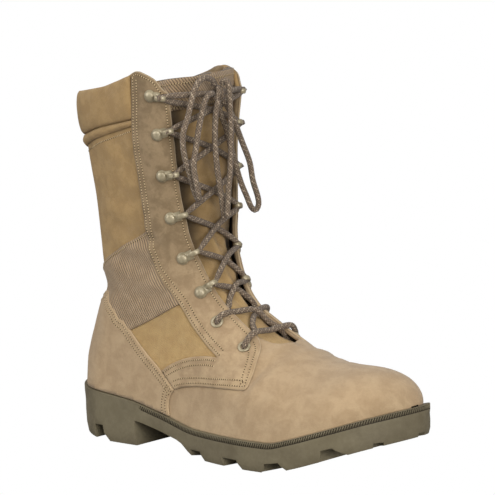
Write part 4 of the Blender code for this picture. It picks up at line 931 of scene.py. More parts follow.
@dataclass(frozen=True)
class Finish:
    """Matte finish with mottles, bump and, where it has one, a weave.

    Attributes:
        name: material's name.
        light: paler colour.
        dark: darker colour.
        patch: scale of the mottles.
        speck: strength of the fine specks.
        speck_scale: their scale.
        roughness: surface roughness.
        sheen: strength of the nap's sheen.
        grain: scale of the bump's grain.
        bump: bump's depth in metres.
        threads: threads in a metre across and up; none for leather.
        slant: skew of the threads.
        rib: how far the threads across are hidden under the ones along.
        thread_depth: bump's depth of the weave in metres.
        thread_shade: how much darker the gaps between threads are.
        metallic: share of metal.
        coat: strength of a thin gloss.
        edge: how much paler the cut edges are.
        high: colour high on the shaft.
        high_share: how far it replaces the others there.
        high_levels: heights where it begins and where it is full.
        dust: amount of pale dust.
        dust_colour: its colour.
    """

    name: str
    light: Colour
    dark: Colour
    patch: float = 45.0
    speck: float = 0.3
    speck_scale: float = 700.0
    roughness: float = 0.9
    sheen: float = 0.0
    grain: float = 900.0
    bump: float = 0.00012
    threads: tuple[float, float] | None = None
    slant: float = 0.0
    rib: float = 0.0
    thread_depth: float = 0.00022
    thread_shade: float = 0.35
    metallic: float = 0.0
    coat: float = 0.0
    edge: float = 0.0
    high: Colour | None = None
    high_share: float = 0.8
    high_levels: tuple[float, float] = (0.085, 0.165)
    dust: float = 0.15
    dust_colour: Colour = srgb(205, 190, 165)

    def build(self, effects: Effects) -> Look:
        """Make the material.

        Args:
            effects: shared shader groups.

        Returns:
            The material.
        """
        material, g, shader = new_material(self.name)
        spot = g.add("ShaderNodeTexCoord")
        place = spot.outputs["Object"]
        mottle = g.add("ShaderNodeGroup", {"Vector": place, "Light": self.light, "Dark": self.dark,
                                           "Patch Scale": self.patch, "Speck Scale": self.speck_scale,
                                           "Speck": self.speck}, node_tree=effects.mottle)
        colour = mottle.outputs["Color"]
        bump = g.add("ShaderNodeBump", {"Height": g.noise(place, self.grain, 5.0, 0.65), "Strength": 1.0,
                                        "Distance": self.bump})
        if self.threads:
            weave = g.add("ShaderNodeGroup", {"Vector": spot.outputs["UV"], "Across": self.threads[0],
                                              "Up": self.threads[1], "Slant": self.slant, "Rib": self.rib},
                          node_tree=effects.weave)
            shade = g.ramp(weave.outputs["Height"], 0.0, 0.75, 1.0 - self.thread_shade, 1.0)
            grey = g.add("ShaderNodeCombineColor", {0: shade, 1: shade, 2: shade}).outputs[0]
            colour = g.mix(1.0, colour, grey, "MULTIPLY")
            bump = g.add("ShaderNodeBump", {"Height": weave.outputs["Height"], "Strength": 1.0,
                                            "Distance": self.thread_depth, "Normal": bump.outputs[0]})
        if self.high:
            level = g.add("ShaderNodeSeparateXYZ", {0: place}).outputs["Z"]
            high = g.math("MULTIPLY", g.ramp(mottle.outputs["Mask"], 0.0, 1.0, 1.0, 0.75),
                          g.ramp(level, *self.high_levels, 0.0, self.high_share))
            colour = g.mix(high, colour, self.high)
        # Painted shade in the gap beside the facings, from the deep attribute that the tongue carries
        deep = g.add("ShaderNodeAttribute", attribute_name="deep").outputs["Fac"]
        colour = g.mix(g.math("MULTIPLY", deep, 0.85, clamp=True), colour, GAP_SHADE)
        worn = g.add("ShaderNodeAttribute", attribute_name="rim").outputs["Fac"]
        worn = g.math("MULTIPLY", g.ramp(worn, 0.25, 0.9), self.edge)
        colour = g.mix(worn, colour, self.dust_colour)
        grime = g.add("ShaderNodeGroup", {"Vector": place, "Color": colour, "Dust": self.dust_colour,
                                          "Amount": self.dust}, node_tree=effects.grime)
        g.feed(shader, {"Base Color": grime.outputs["Color"], "Normal": bump.outputs[0],
                        "Roughness": self.roughness, "Metallic": self.metallic, "Coat Weight": self.coat,
                        "Sheen Weight": self.sheen, "Sheen Roughness": 0.55, "Specular IOR Level": 0.3})
        return material


NAP = {"patch": 85.0, "speck": 1.1, "speck_scale": 520.0, "roughness": 0.95, "grain": 1100.0,
       "bump": 0.00030}
FINISHES = (
    Finish("suede", srgb(172, 147, 114), srgb(158, 133, 101), sheen=0.15, edge=0.55, dust=0.16,
           dust_colour=srgb(198, 176, 142), **NAP),
    Finish("facing_suede", srgb(176, 151, 117), srgb(154, 129, 98), sheen=0.12, edge=0.6, dust=0.12,
           dust_colour=srgb(196, 175, 142), high=srgb(108, 90, 64), **NAP),
    Finish("canvas", srgb(202, 168, 114), srgb(190, 155, 102), patch=120.0, speck=1.2, speck_scale=500.0,
           threads=(1250.0, 1250.0), slant=0.5, thread_shade=0.34, roughness=0.9, sheen=0.1, dust=0.08,
           high=srgb(150, 121, 79)),
    Finish("lining", srgb(64, 56, 45), srgb(50, 43, 34), threads=(900.0, 900.0), roughness=0.95, dust=0.0),
    Finish("webbing", srgb(178, 151, 118), srgb(164, 137, 104), patch=120.0, speck=0.8,
           threads=(440.0, 1100.0), slant=0.62, rib=0.8, thread_depth=0.0009, thread_shade=0.75,
           roughness=0.7, sheen=0.15, dust=0.08),
    Finish("rubber", srgb(108, 99, 77), srgb(96, 87, 67), patch=30.0, speck=0.3, roughness=0.62, grain=520.0,
           bump=0.00010, dust=0.16, dust_colour=srgb(150, 140, 116)),
    # Painted shade for the recess behind the sole's edge ribs
    Finish("rubber_groove", srgb(58, 50, 37), srgb(48, 41, 30), roughness=0.8, dust=0.0),
    Finish("painted_metal", srgb(172, 160, 132), srgb(146, 134, 108), patch=160.0, roughness=0.34,
           metallic=0.3, coat=0.25, grain=700.0, bump=0.00004, dust=0.1),
    Finish("thread", srgb(200, 178, 140), srgb(176, 152, 114), patch=300.0, roughness=0.7, grain=2600.0,
           bump=0.00008, dust=0.0),
    # Dark dots of painted shade where the needle holes are
    Finish("needle_hole", srgb(84, 68, 48), srgb(70, 56, 40), roughness=0.9, dust=0.0),
    Finish("insole_board", srgb(120, 104, 80), srgb(96, 82, 62), roughness=0.95),
)


@dataclass(frozen=True)
class LaceFinish:
    """Braided cord whose yarns slant both ways, one set pale and one dark.

    Attributes:
        pale: colour of the flecks.
        base: colour of the other yarns.
        dark: colour of the painted shade between the yarns and at the cord's rim.
        yarns: yarns round the cord.
        pitch: yarns in a metre along it.
        depth: bump's depth in metres.
        name: material's name.
    """

    pale: Colour = srgb(186, 166, 141)
    base: Colour = srgb(133, 114, 93)
    dark: Colour = srgb(70, 57, 45)
    yarns: float = 6.0
    pitch: float = 460.0
    depth: float = 0.0005
    name: str = "lace_cord"

    def build(self, girth: float) -> Look:
        """Make the material for a cord of the given girth."""
        material, g, shader = new_material(self.name)
        split = g.add("ShaderNodeSeparateXYZ", {0: g.add("ShaderNodeTexCoord").outputs["UV"]}).outputs
        around = g.math("MULTIPLY", split["X"], self.yarns / girth)
        length = g.math("MULTIPLY", split["Y"], self.pitch)
        one = g.math("ADD", around, length)
        two = g.math("SUBTRACT", around, length)
        ridge = g.math("MULTIPLY", g.waves(one), g.waves(two))
        cell = g.add("ShaderNodeCombineXYZ", {0: g.math("FLOOR", one), 1: g.math("FLOOR", two)})
        chance = g.add("ShaderNodeTexWhiteNoise", {"Vector": cell.outputs[0]}, noise_dimensions="2D")
        pale = g.math("MULTIPLY", g.every_other(g.math("FLOOR", one)), chance.outputs["Value"])
        colour = g.mix(g.ramp(pale, 0.15, 0.8), self.base, self.pale)
        # Painted shade in the grooves between the yarns
        colour = g.mix(g.ramp(ridge, 0.02, 0.45), self.dark, colour)
        # Painted shade toward the cord's rim, where its surface turns away from the camera
        rim_shade = g.add("ShaderNodeLayerWeight", {"Blend": 0.35}).outputs["Facing"]
        colour = g.mix(g.math("MULTIPLY", rim_shade, 0.7, clamp=True), colour, self.dark)
        bump = g.add("ShaderNodeBump", {"Height": ridge, "Strength": 1.0, "Distance": self.depth})
        g.feed(shader, {"Base Color": colour, "Normal": bump.outputs[0], "Roughness": 0.8,
                        "Sheen Weight": 0.1})
        return material


# Repeats by Geometry Nodes


class Repeater:
    """Places a small shape on marked points by Geometry Nodes."""

    def __init__(self) -> None:
        self.stitch = self.build_tree("stitches", self.stitch_shape)
        self.rib = self.build_tree("ribs", self.rib_shape)
        self.copy = self.build_tree("copies", self.given_shape)

    @staticmethod
    def stitch_shape(g: Graph, given: bpy.types.NodeInputs) -> Socket:
        """Spindle of thread of unit size."""
        return g.add("GeometryNodeMeshUVSphere", {"Segments": 6, "Rings": 5, "Radius": 0.5}).outputs["Mesh"]

    @staticmethod
    def rib_shape(g: Graph, given: bpy.types.NodeInputs) -> Socket:
        """Upright bar of unit size."""
        bar = g.add("GeometryNodeMeshCylinder", {"Vertices": 6, "Radius": 0.5, "Depth": 1.0})
        return bar.outputs["Mesh"]

    @staticmethod
    def given_shape(g: Graph, given: bpy.types.NodeInputs) -> Socket:
        """Shape of another object."""
        return g.add("GeometryNodeObjectInfo", {"Object": given["Shape"]}).outputs["Geometry"]

    @staticmethod
    def build_tree(name: str, shape: Callable) -> bpy.types.NodeTree:
        """Tree that sets a shape on every point, turned and sized, and makes it real."""
        tree = new_group(name, {"Geometry": ("Geometry", None), "Shape": ("Object", None),
                                "Size": ("Vector", None), "Material": ("Material", None)},
                         {"Geometry": "Geometry"}, "GeometryNodeTree")
        g = Graph(tree)
        given = g.add("NodeGroupInput").outputs
        turn = g.add("GeometryNodeInputNamedAttribute", {"Name": "turn"}, data_type="FLOAT_VECTOR")
        spin = g.add("FunctionNodeEulerToRotation", {0: turn.outputs[0]})
        placed = g.add("GeometryNodeInstanceOnPoints", {
            "Points": given["Geometry"], "Instance": shape(g, given), "Rotation": spin.outputs[0],
            "Scale": given["Size"]})
        real = g.add("GeometryNodeRealizeInstances", {"Geometry": placed.outputs[0]})
        done = g.add("GeometryNodeSetMaterial", {"Geometry": real.outputs[0], "Material": given["Material"]})
        g.add("NodeGroupOutput", {0: done.outputs[0]})
        return tree

    def place(self, name: str, tree: bpy.types.NodeTree, frames: Sequence[Matrix], size: Sequence[float],
              material: Look, shape: Thing | None = None) -> Thing:
        """Make the piece.

        Args:
            name: piece's name.
            tree: one of the repeater's trees.
            frames: place and turn of each copy.
            size: scale of each copy.
            material: finish of the copies.
            shape: object to copy, for the copying tree.

        Returns:
            One plain mesh object with all the copies.
        """
        data = bpy.data.meshes.new(name)
        data.from_pydata([m.translation[:] for m in frames], [], [])
        turns = data.attributes.new("turn", "FLOAT_VECTOR", "POINT")
        turns.data.foreach_set("vector", [v for m in frames for v in m.to_euler("XYZ")])
        item = new_object(name, data)
        modifier = item.modifiers.new("repeat", "NODES")
        modifier.node_group = tree
        values = {"Size": size, "Material": material, "Shape": shape}
        for socket in tree.interface.items_tree:
            if socket.in_out == "INPUT" and values.get(socket.name) is not None:
                modifier[socket.identifier] = values[socket.name]
        item = evaluated(item)
        item.data.shade_smooth()
        item.data.attributes.remove(item.data.attributes["turn"])
        return item


@dataclass
class Seam:
    """Rows of stitches gathered from several panels, sewn as one piece."""

    name: str
    slot: str
    pitch: float = 0.0020
    stitch: tuple[float, float, float] = (0.0015, 0.0010, 0.0007)
    # Size of the dark dots of painted shade at the needle holes
    hole: tuple[float, float, float] = (0.0010, 0.0011, 0.0003)
    frames: list[Matrix] = field(default_factory=list)

    def run(self, points: np.ndarray, normals: np.ndarray) -> None:
        """Add a row of stitches along a line on a surface."""
        self.frames += frames_along(points, normals, self.pitch)

    def sew(self, finishes: Looks, repeater: Repeater) -> None:
        """Make the thread and, between its stitches, dark dots of painted shade for the needle holes."""
        between = [frame @ Matrix.Translation((0.5 * self.pitch, 0.0, 0.0001)) for frame in self.frames]
        for what, frames, size, finish in (("thread", self.frames, self.stitch, "thread"),
                                           ("holes", between, self.hole, "needle_hole")):
            item = repeater.place(f"{self.name}_{what}", repeater.stitch, frames, size, finishes[finish])
            place_on_body(item, (), self.slot)


def basis(ahead: np.ndarray, outward: np.ndarray, place: np.ndarray) -> Matrix:
    """Matrix with X ahead and Z outward at a place."""
    outward = Vector(outward).normalized()
    ahead = Vector(ahead)
    ahead = (ahead - outward * ahead.dot(outward)).normalized()
    turn = Matrix((ahead, outward.cross(ahead), outward)).transposed().to_4x4()
    return Matrix.Translation(place) @ turn


# Panels and seams


@dataclass(frozen=True)
class Edge:
    """One side of a panel's outline.

    Attributes:
        places: places on the last that it passes through.
        cut: False where the panel runs on past it, as at a seam shared by both halves.
    """

    places: Places
    cut: bool = True


@dataclass(frozen=True)
class SeamLine:
    """Row of stitches on a side of a panel's outline.

    Attributes:
        edge: number of the outline's side.
        insets: distances from the edge, one for each row.
        start: share of the side where the row begins.
        end: share where it ends.
    """

    edge: int
    insets: tuple[float, ...] = (0.0024, 0.0060)
    start: float = 0.0
    end: float = 1.0


# Distance between the rows of a net of even triangles, as a share of their side
ROW_STEP = 0.866


@dataclass
class Panel:
    """Leather or cloth laid on the last inside an outline.

    Attributes:
        name: piece's name.
        edges: outline's sides in order.
        lift: height of its underside over the last.
        thickness: its thickness.
        round: width over which its edge rolls down.
        spacing: distance between its points.
        cut_height: height of its cut edge, as a share of its thickness.
        skirt: how far its edge reaches below its underside.
        seams: rows of stitches on it.
    """

    name: str
    edges: tuple[Edge, ...]
    lift: float
    thickness: float
    round: float = 0.0011
    spacing: float = 0.0026
    cut_height: float = 0.30
    skirt: float = 0.0004
    seams: tuple[SeamLine, ...] = ()

    def side_path(self, edge: Edge) -> np.ndarray:
        """Evenly spaced side-view points of one side of the outline."""
        places = np.array(edge.places, float)
        x, z = LAST.side_view(places[:, 0], places[:, 1])
        return smooth_path(np.stack([x, z], axis=1), 0.0016)

    def guesses(self) -> tuple[np.ndarray, np.ndarray]:
        """Side-view points of a grid of places round the panel, and the places."""
        places = np.array([p for edge in self.edges for p in edge.places])
        rows = np.arange(max(0.0, places[:, 0].min() - 1.0), min(TOP_ROW, places[:, 0].max() + 1.0), 0.12)
        shares = np.arange(0.0, 1.0001, 0.02)
        row, across = (a.ravel() for a in np.meshgrid(rows, shares, indexing="ij"))
        x, z = LAST.side_view(row, across)
        return np.stack([x, z], axis=1), np.stack([row, across], axis=1)

    def places(self, flat: np.ndarray) -> np.ndarray:
        """Places on the last of side-view points."""
        grid, known = self.guesses()
        nearest = np.array([np.argmin(((grid - point) ** 2).sum(axis=1)) for point in flat])
        found = LAST.place_of(flat[:, 0], flat[:, 1], known[nearest, 0], known[nearest, 1])
        found[:, 1] = np.clip(found[:, 1], 0.0, 1.0)
        return found

    def outline(self) -> tuple[np.ndarray, np.ndarray]:
        """Points of the outline and, for each, whether its next side is a cut edge."""
        points, cuts = [], []
        for edge in self.edges:
            path = self.side_path(edge)[:-1]
            points.append(path)
            cuts.append(np.full(len(path), edge.cut))
        return np.vstack(points), np.concatenate(cuts)

    @staticmethod
    def distances(points: np.ndarray, starts: np.ndarray, ends: np.ndarray) -> np.ndarray:
        """Distance of points to the nearest of many short lines."""
        best = np.full(len(points), 1e9)
        for start, end in zip(starts, ends):
            line = end - start
            t = np.clip((points - start) @ line / max(line @ line, 1e-12), 0.0, 1.0)
            best = np.minimum(best, np.linalg.norm(points - start - t[:, None] * line, axis=1))
        return best

    @staticmethod
    def inside(points: np.ndarray, loop: np.ndarray) -> np.ndarray:
        """Whether points lie inside a loop."""
        x, y = points[:, 0], points[:, 1]
        result = np.zeros(len(points), bool)
        for (x0, y0), (x1, y1) in zip(loop, np.roll(loop, -1, axis=0)):
            if y0 == y1:
                continue
            crosses = ((y0 > y) != (y1 > y)) & (x < (x1 - x0) * (y - y0) / (y1 - y0) + x0)
            result ^= crosses
        return result

    def inset_path(self, path: np.ndarray, loop: np.ndarray, inset: float) -> np.ndarray:
        """A side's points moved into the panel."""
        tangents = unit(np.gradient(path, axis=0))
        aside = np.stack([-tangents[:, 1], tangents[:, 0]], axis=1)
        middle = len(path) // 2
        probe = path[middle] + aside[middle] * 0.0006
        if not self.inside(probe[None, :], loop)[0]:
            aside = -aside
        return path + aside * inset

    def build(self, side: Side) -> Thing:
        """Mesh of the panel on one side of the boot.

        Args:
            side: which side.

        Returns:
            The panel, with texture places in the side view.
        """
        loop, cuts = self.outline()
        starts, ends = loop[cuts], np.roll(loop, -1, axis=0)[cuts]
        rings = []
        for edge in self.edges:
            if edge.cut:
                path = self.side_path(edge)
                rings += [self.inset_path(path, loop, share * self.round) for share in (0.4, 1.0)]
        ring = np.vstack(rings)
        keep = self.inside(ring, loop) & (self.distances(ring, starts, ends) > 0.36 * self.round)
        low, high = loop.min(axis=0), loop.max(axis=0)
        xs = np.arange(low[0], high[0], self.spacing)
        zs = np.arange(low[1], high[1], self.spacing * ROW_STEP)
        field_points = np.array([(x + (k % 2) * 0.5 * self.spacing, z)
                                 for k, z in enumerate(zs) for x in xs])
        field_points = field_points[self.inside(field_points, loop)]
        clear = self.distances(field_points, loop, np.roll(loop, -1, axis=0)) > 1.3 * self.round
        flat = np.vstack([loop, ring[keep], field_points[clear]])
        count = len(loop)
        constraint = [(i, (i + 1) % count) for i in range(count)]
        verts, _, faces, _, _, _ = delaunay_2d_cdt([Vector(p) for p in flat], constraint, [], 1, 1e-7)
        flat = np.array([v[:] for v in verts])
        height = rounding(self.distances(flat, starts, ends) / self.round)
        place = self.places(flat)
        lift = self.lift + self.thickness * (self.cut_height + (1.0 - self.cut_height) * height)
        points = LAST.skin(place, side, lift)
        mesh = bmesh.new()
        layer = mesh.loops.layers.uv.verify()
        rim = mesh.verts.layers.float.new("rim")
        made = [mesh.verts.new(point) for point in points]
        for face in faces:
            order = face if side is Side.LATERAL else face[::-1]
            new = mesh.faces.new([made[i] for i in order])
            for loop_corner, i in zip(new.loops, order):
                loop_corner[layer].uv = flat[i]
        for vert, share in zip(made, height):
            vert[rim] = 1.0 - share
        self.add_skirt(mesh, made, place, side)
        item = mesh_object(f"{self.name}_{side.label}", mesh, turn=False)
        self.face_outward(item, LAST.outward(place, side))
        return item

    def add_skirt(self, mesh: bmesh.types.BMesh, made: list[bmesh.types.BMVert], place: np.ndarray,
                  side: Side) -> None:
        """Short wall from the rolled edge down to what lies under the panel."""
        open_edges = [edge for edge in mesh.edges if len(edge.link_faces) == 1]
        number = {vert: i for i, vert in enumerate(made)}
        used = sorted({number[v] for edge in open_edges for v in edge.verts})
        foot = LAST.skin(place[used], side, self.lift - self.skirt)
        low = {i: mesh.verts.new(point) for i, point in zip(used, foot)}
        for edge in open_edges:
            face = edge.link_faces[0]
            for loop in face.loops:
                if loop.edge == edge:
                    a, b = loop.vert, loop.link_loop_next.vert
            mesh.faces.new((b, a, low[number[a]], low[number[b]]))

    @staticmethod
    def face_outward(item: Thing, outward: np.ndarray) -> None:
        """Flip the whole panel if its faces point into the boot."""
        data = item.data
        total = 0.0
        for polygon in data.polygons[:400]:
            centre = polygon.center
            gap = (np.array([v.co[:] for v in (data.vertices[i] for i in polygon.vertices)]) - centre[:])
            index = polygon.vertices[int(np.argmin(np.linalg.norm(gap, axis=1)))]
            if index < len(outward):
                total += float(np.dot(polygon.normal[:], outward[index]))
        if total < 0.0:
            data.flip_normals()

    def stitch(self, side: Side, thread: Seam) -> None:
        """Add the panel's rows of stitches on one side of the boot."""
        loop, _ = self.outline()
        for seam in self.seams:
            path = self.side_path(self.edges[seam.edge])
            first, last = int(seam.start * (len(path) - 1)), int(seam.end * (len(path) - 1)) + 1
            for inset in seam.insets:
                line = self.inset_path(path[first:last], loop, inset)
                line = line[self.inside(line, loop)]
                if len(line) < 3:
                    continue
                place = self.places(line)
                thread.run(LAST.skin(place, side, self.lift + self.thickness), LAST.outward(place, side))


def frames_along(points: np.ndarray, normals: np.ndarray, pitch: float) -> list[Matrix]:
    """Frames at even distances along a line on a surface."""
    steps = run_lengths(points)
    if steps[-1] < pitch:
        return []
    wanted = np.arange(0.5 * pitch, steps[-1], pitch)
    near = 0.25 * pitch
    ahead = sampled(points, steps, wanted + near) - sampled(points, steps, wanted - near)
    return [basis(a, n, p) for a, n, p in zip(ahead, sampled(normals, steps, wanted),
                                              sampled(points, steps, wanted))]


# Sub-assemblies

# Rows where the vamp and the counter end, and the border of suede between them under the overlays
VAMP_END = 7.8
COUNTER_END = 19.6
SUEDE_BORDER = ((8.8, 1.5), (9.3, 0.56), (10.2, 0.50), (11.2, 0.40), (12.3, 0.27), (14.5, 0.35),
                (17.0, 0.30), (19.5, 0.05))


@dataclass
class Upper:
    """Suede vamp, canvas shaft and lining as one wall.

    Attributes:
        wall: its thickness.
        tuck: how far it reaches below the sole's top edge.
        foot_rows: rows of points ahead of the throat, closer toward the toe.
        throat_rows: rows where the throat opens.
        shaft_rows: evenly spaced rows behind and above them.
        columns: points from the sole edge to the front on each side.
        even_from: row on the last where the even spacing begins.
        collar_from: row above which the rows bend toward the collar's line.
        facing_inside: row and share beyond which the inside shows the facing's suede.
    """

    wall: float = 0.0020
    tuck: float = 0.0014
    foot_rows: int = 34
    throat_rows: int = 22
    shaft_rows: int = 96
    columns: int = 44
    even_from: float = 9.0
    collar_from: float = 22.0
    facing_inside: tuple[float, float] = (20.0, 0.62)

    def grid(self) -> tuple[np.ndarray, np.ndarray]:
        """Rows and shares of the outer skin, denser where the form turns."""
        foot = np.linspace(0.0, 1.0, self.foot_rows) ** 1.25 * LAST.throat_row
        throat = np.linspace(0.0, 1.0, self.throat_rows) ** 1.5
        throat = LAST.throat_row + (self.even_from - LAST.throat_row) * throat[1:]
        shaft = np.linspace(self.even_from, TOP_ROW, self.shaft_rows)[1:]
        rows = np.concatenate([foot, throat, shaft])
        shares = (1.0 - np.cos(np.linspace(0.0, math.pi, self.columns))) / 2.0
        row = np.repeat(rows[:, None], self.columns, axis=1)
        for _ in range(4):
            across = shares[None, :] * LAST.throat_across(row)
            top = LAST.curves["collar"](across)
            low = self.collar_from
            bent = low + (rows[:, None] - low) * (top - low) / (TOP_ROW - low)
            row = np.where(rows[:, None] > low, bent, rows[:, None])
        return row, shares[None, :] * LAST.throat_across(row)

    @staticmethod
    def is_suede(row: float, across: float) -> bool:
        """Whether the vamp, rather than canvas, shows at a place."""
        return row < VAMP_END or (row < COUNTER_END and across < np.interp(row, *zip(*SUEDE_BORDER)))

    def build(self, finishes: Looks) -> None:
        """Make the hollow upper; its slots are suede, canvas, lining and facing suede.

        Args:
            finishes: materials by name.
        """
        row, across = self.grid()
        throat = int(np.searchsorted(row[:, 0], LAST.throat_row - 1e-6))
        heel = int(np.searchsorted(row[:, 0], LAST.heel_row))
        mesh = bmesh.new()
        fronts = []
        for side in Side:
            outer = LAST.surface(row, across, side.value)
            v = LAST.values(row)
            start = np.where(row >= LAST.heel_row, self.wall / v["length"], 0.0)
            inner_end = LAST.throat_across(row, self.wall)
            share = across / LAST.throat_across(row)
            inner_across = start + (inner_end - start) * share
            inner = LAST.surface(row, inner_across, side.value, inset=self.wall)
            seam = np.zeros(row.shape, bool)
            seam[heel:, 0] = True
            seam[:throat + 1, -1] = True
            for skin, shares in ((inner, inner_across), (outer, across)):
                skin[..., 1] = np.where(seam, LAST.middle(v, shares), skin[..., 1])
            uv = grid_uv(outer)
            out = add_grid(mesh, outer, 1, uv)
            ins = add_grid(mesh, inner, 2, uv)
            fronts.append((out[0], ins[0]))
            foot = [mesh.verts.new(r[0].co - Vector((0.0, 0.0, self.tuck))) for r in out[:heel + 1]]
            join_rims(mesh, [r[0] for r in out[:heel + 1]], foot, 0)
            join_rims(mesh, foot, [r[0] for r in ins[:heel + 1]], 2)
            join_rims(mesh, [r[-1] for r in out[throat:]], [r[-1] for r in ins[throat:]], 3)
            join_rims(mesh, out[-1], ins[-1], 1)
            for i in range(len(out) - 1):
                for j in range(len(out[0]) - 1):
                    if self.is_suede(float(row[i, j]), float(across[i, j])):
                        face_at(out, i, j).material_index = 0
                    if row[i, j] > self.facing_inside[0] and share[i, j] > self.facing_inside[1]:
                        face_at(ins, i, j).material_index = 3
        for skin, material in ((0, 0), (1, 2)):
            join_rims(mesh, fronts[0][skin], fronts[1][skin], material)
        item = mesh_object("upper_shell", mesh, weld=0.00003)
        place_on_body(item, ("upper",), "canvas", *(
            finishes[name] for name in ("suede", "canvas", "lining", "facing_suede")))


@dataclass
class Overlays:
    """Suede facings, wings and counter, ankle webbing, and all thread on them."""

    lift: float = 0.0006
    suede: float = 0.0014
    webbing: float = 0.0010

    def panels(self) -> tuple[tuple[Panel, str, str], ...]:
        """Each panel with its finish and the solid that it stands for."""
        throat_rows = np.linspace(THROAT_START, FACING_TOP, 40)
        throat = tuple(zip(throat_rows, LAST.throat_across(throat_rows)))
        start, top = throat[0], throat[-1]
        facing = Panel("eyestay", (
            Edge(FACING_REAR), Edge(WING_TOP), Edge((WING_TOP[-1], WING_BOTTOM[0])),
            Edge(WING_BOTTOM[:-1] + (start,)), Edge(throat), Edge((top,) + TAB[1:])),
            self.lift, self.suede,
            seams=(SeamLine(0), SeamLine(1), SeamLine(3, end=0.97), SeamLine(4, (0.0022,)),
                   SeamLine(5, (0.0022,))))
        counter = Panel("heel_counter", (
            Edge(COUNTER_TOP), Edge(COUNTER_FRONT), Edge(COUNTER_FOOT),
            Edge(tuple((row, 0.0) for row in np.linspace(11.3, 16.0, 12)), cut=False),
            Edge(tuple((row, 0.0) for row in np.linspace(16.0, 19.5, 10)), cut=False)),
            self.lift, self.suede, seams=(SeamLine(0), SeamLine(1), SeamLine(2, end=0.9)))
        webbing = Panel("webbing", (
            Edge(WEBBING_TOP), Edge(WEBBING_FRONT), Edge(WEBBING_BOTTOM),
            Edge(tuple((row, 0.0) for row in (18.8, 19.3, 19.8, 20.35)), cut=False)),
            self.lift - 0.0003, self.webbing, seams=(SeamLine(0, (0.0022,)),))
        return ((facing, "facing_suede", "eyestay_{}"), (counter, "suede", "heel_counter"),
                (webbing, "webbing", "webbing_{}"))

    def build(self, finishes: Looks, repeater: Repeater) -> None:
        """Make the panels and their stitches."""
        thread = Seam("panel", "suede")
        for panel, finish, node in self.panels():
            for side in Side:
                item = panel.build(side)
                place_on_body(item, (node.format(side.label),), finish.replace("facing_", ""),
                              finishes[finish])
                panel.stitch(side, thread)
        thread.sew(finishes, repeater)


@dataclass
class Collar:
    """Padded canvas band and the seam roll under it.

    Attributes:
        puff: height of the band.
        piping: height of the roll.
        seat: gap under both.
        reach: share of the section where they end beside the facings.
        taper: length of their thinning ends, as such a share.
        seam_drop: rows from the roll's lower line down to the stitches.
        seam_reach: share where the stitches end.
    """

    puff: float = 0.0030
    piping: float = 0.0024
    seat: float = 0.0005
    reach: float = 0.618
    taper: float = 0.045
    seam_drop: float = 0.22
    seam_reach: float = 0.59

    def roll(self, name: str, bottom: Places, top: Places, profile: Places, waves: float) -> Thing:
        """Padded strip round the back of the shaft.

        Args:
            name: piece's name.
            bottom: lower line as shares and rows.
            top: upper line.
            profile: levels and heights across the strip.
            waves: share by which its height varies.

        Returns:
            The closed strip.
        """
        shares = np.sin(np.linspace(0.0, math.pi / 2.0, 48)) * self.reach
        fall = np.clip((self.reach - shares) / self.taper, 0.0, 1.0)
        fall = 0.12 + 0.88 * np.sqrt(1.0 - (1.0 - fall) ** 2)
        level = np.array([p[0] for p in profile])[:, None]
        height = np.array([p[1] for p in profile])[:, None]
        low = through(bottom, 1)(shares)[None, :]
        high = through(top, 1)(shares)[None, :]
        row = low + (high - low) * level
        across = np.broadcast_to(shares[None, :], row.shape)
        mesh = bmesh.new()
        skins = []
        for outer in (False, True):
            halves = []
            for side in Side:
                lift = -0.0002
                if outer:
                    x, y, z = np.moveaxis(LAST.surface(row, across, side.value), -1, 0)
                    wave = 1.0 + waves * np.sin(x * 310.0 + y * 260.0 + z * 120.0) * np.sin(y * 170.0 + 0.8)
                    lift = self.seat + height * wave * fall
                halves.append(LAST.surface(row, across, side.value, lift))
            whole = np.concatenate([halves[0][:, ::-1], halves[1][:, 1:]], axis=1)
            skins.append(add_grid(mesh, whole, 0, grid_uv(whole)))
        return join_skins(name, mesh, *skins)

    def build(self, finishes: Looks, repeater: Repeater) -> None:
        """Make band, roll and the band's seam."""
        collar = tuple(p for p in COLLAR if p[0] < 0.64)
        levels = np.linspace(0.0, 1.0, 17)
        crown = np.sqrt(np.maximum(0.0, 1.0 - np.abs(2.0 * levels - 1.0) ** 2.6))
        band = self.roll("collar_band_padded", BAND_BOTTOM, collar,
                         tuple(zip(levels, (0.22 + 0.78 * crown) * self.puff)), 0.16)
        levels = np.linspace(0.0, 1.0, 9)
        crown = np.sin(levels * math.pi)
        piping = self.roll("collar_seam_roll", PIPING_BOTTOM, PIPING_TOP,
                           tuple(zip(levels, (0.25 + 0.75 * crown) * self.piping)), 0.05)
        place_on_body(band, ("collar_band",), "canvas", finishes["canvas"])
        place_on_body(piping, ("collar_piping",), "canvas", finishes["canvas"])
        thread = Seam("collar", "canvas")
        shares = np.linspace(0.0, self.seam_reach, 120)
        rows = through(PIPING_BOTTOM, 1)(shares) - self.seam_drop
        for side in Side:
            thread.run(LAST.surface(rows, shares, side.value), LAST.normal(rows, shares, side.value))
        thread.sew(finishes, repeater)


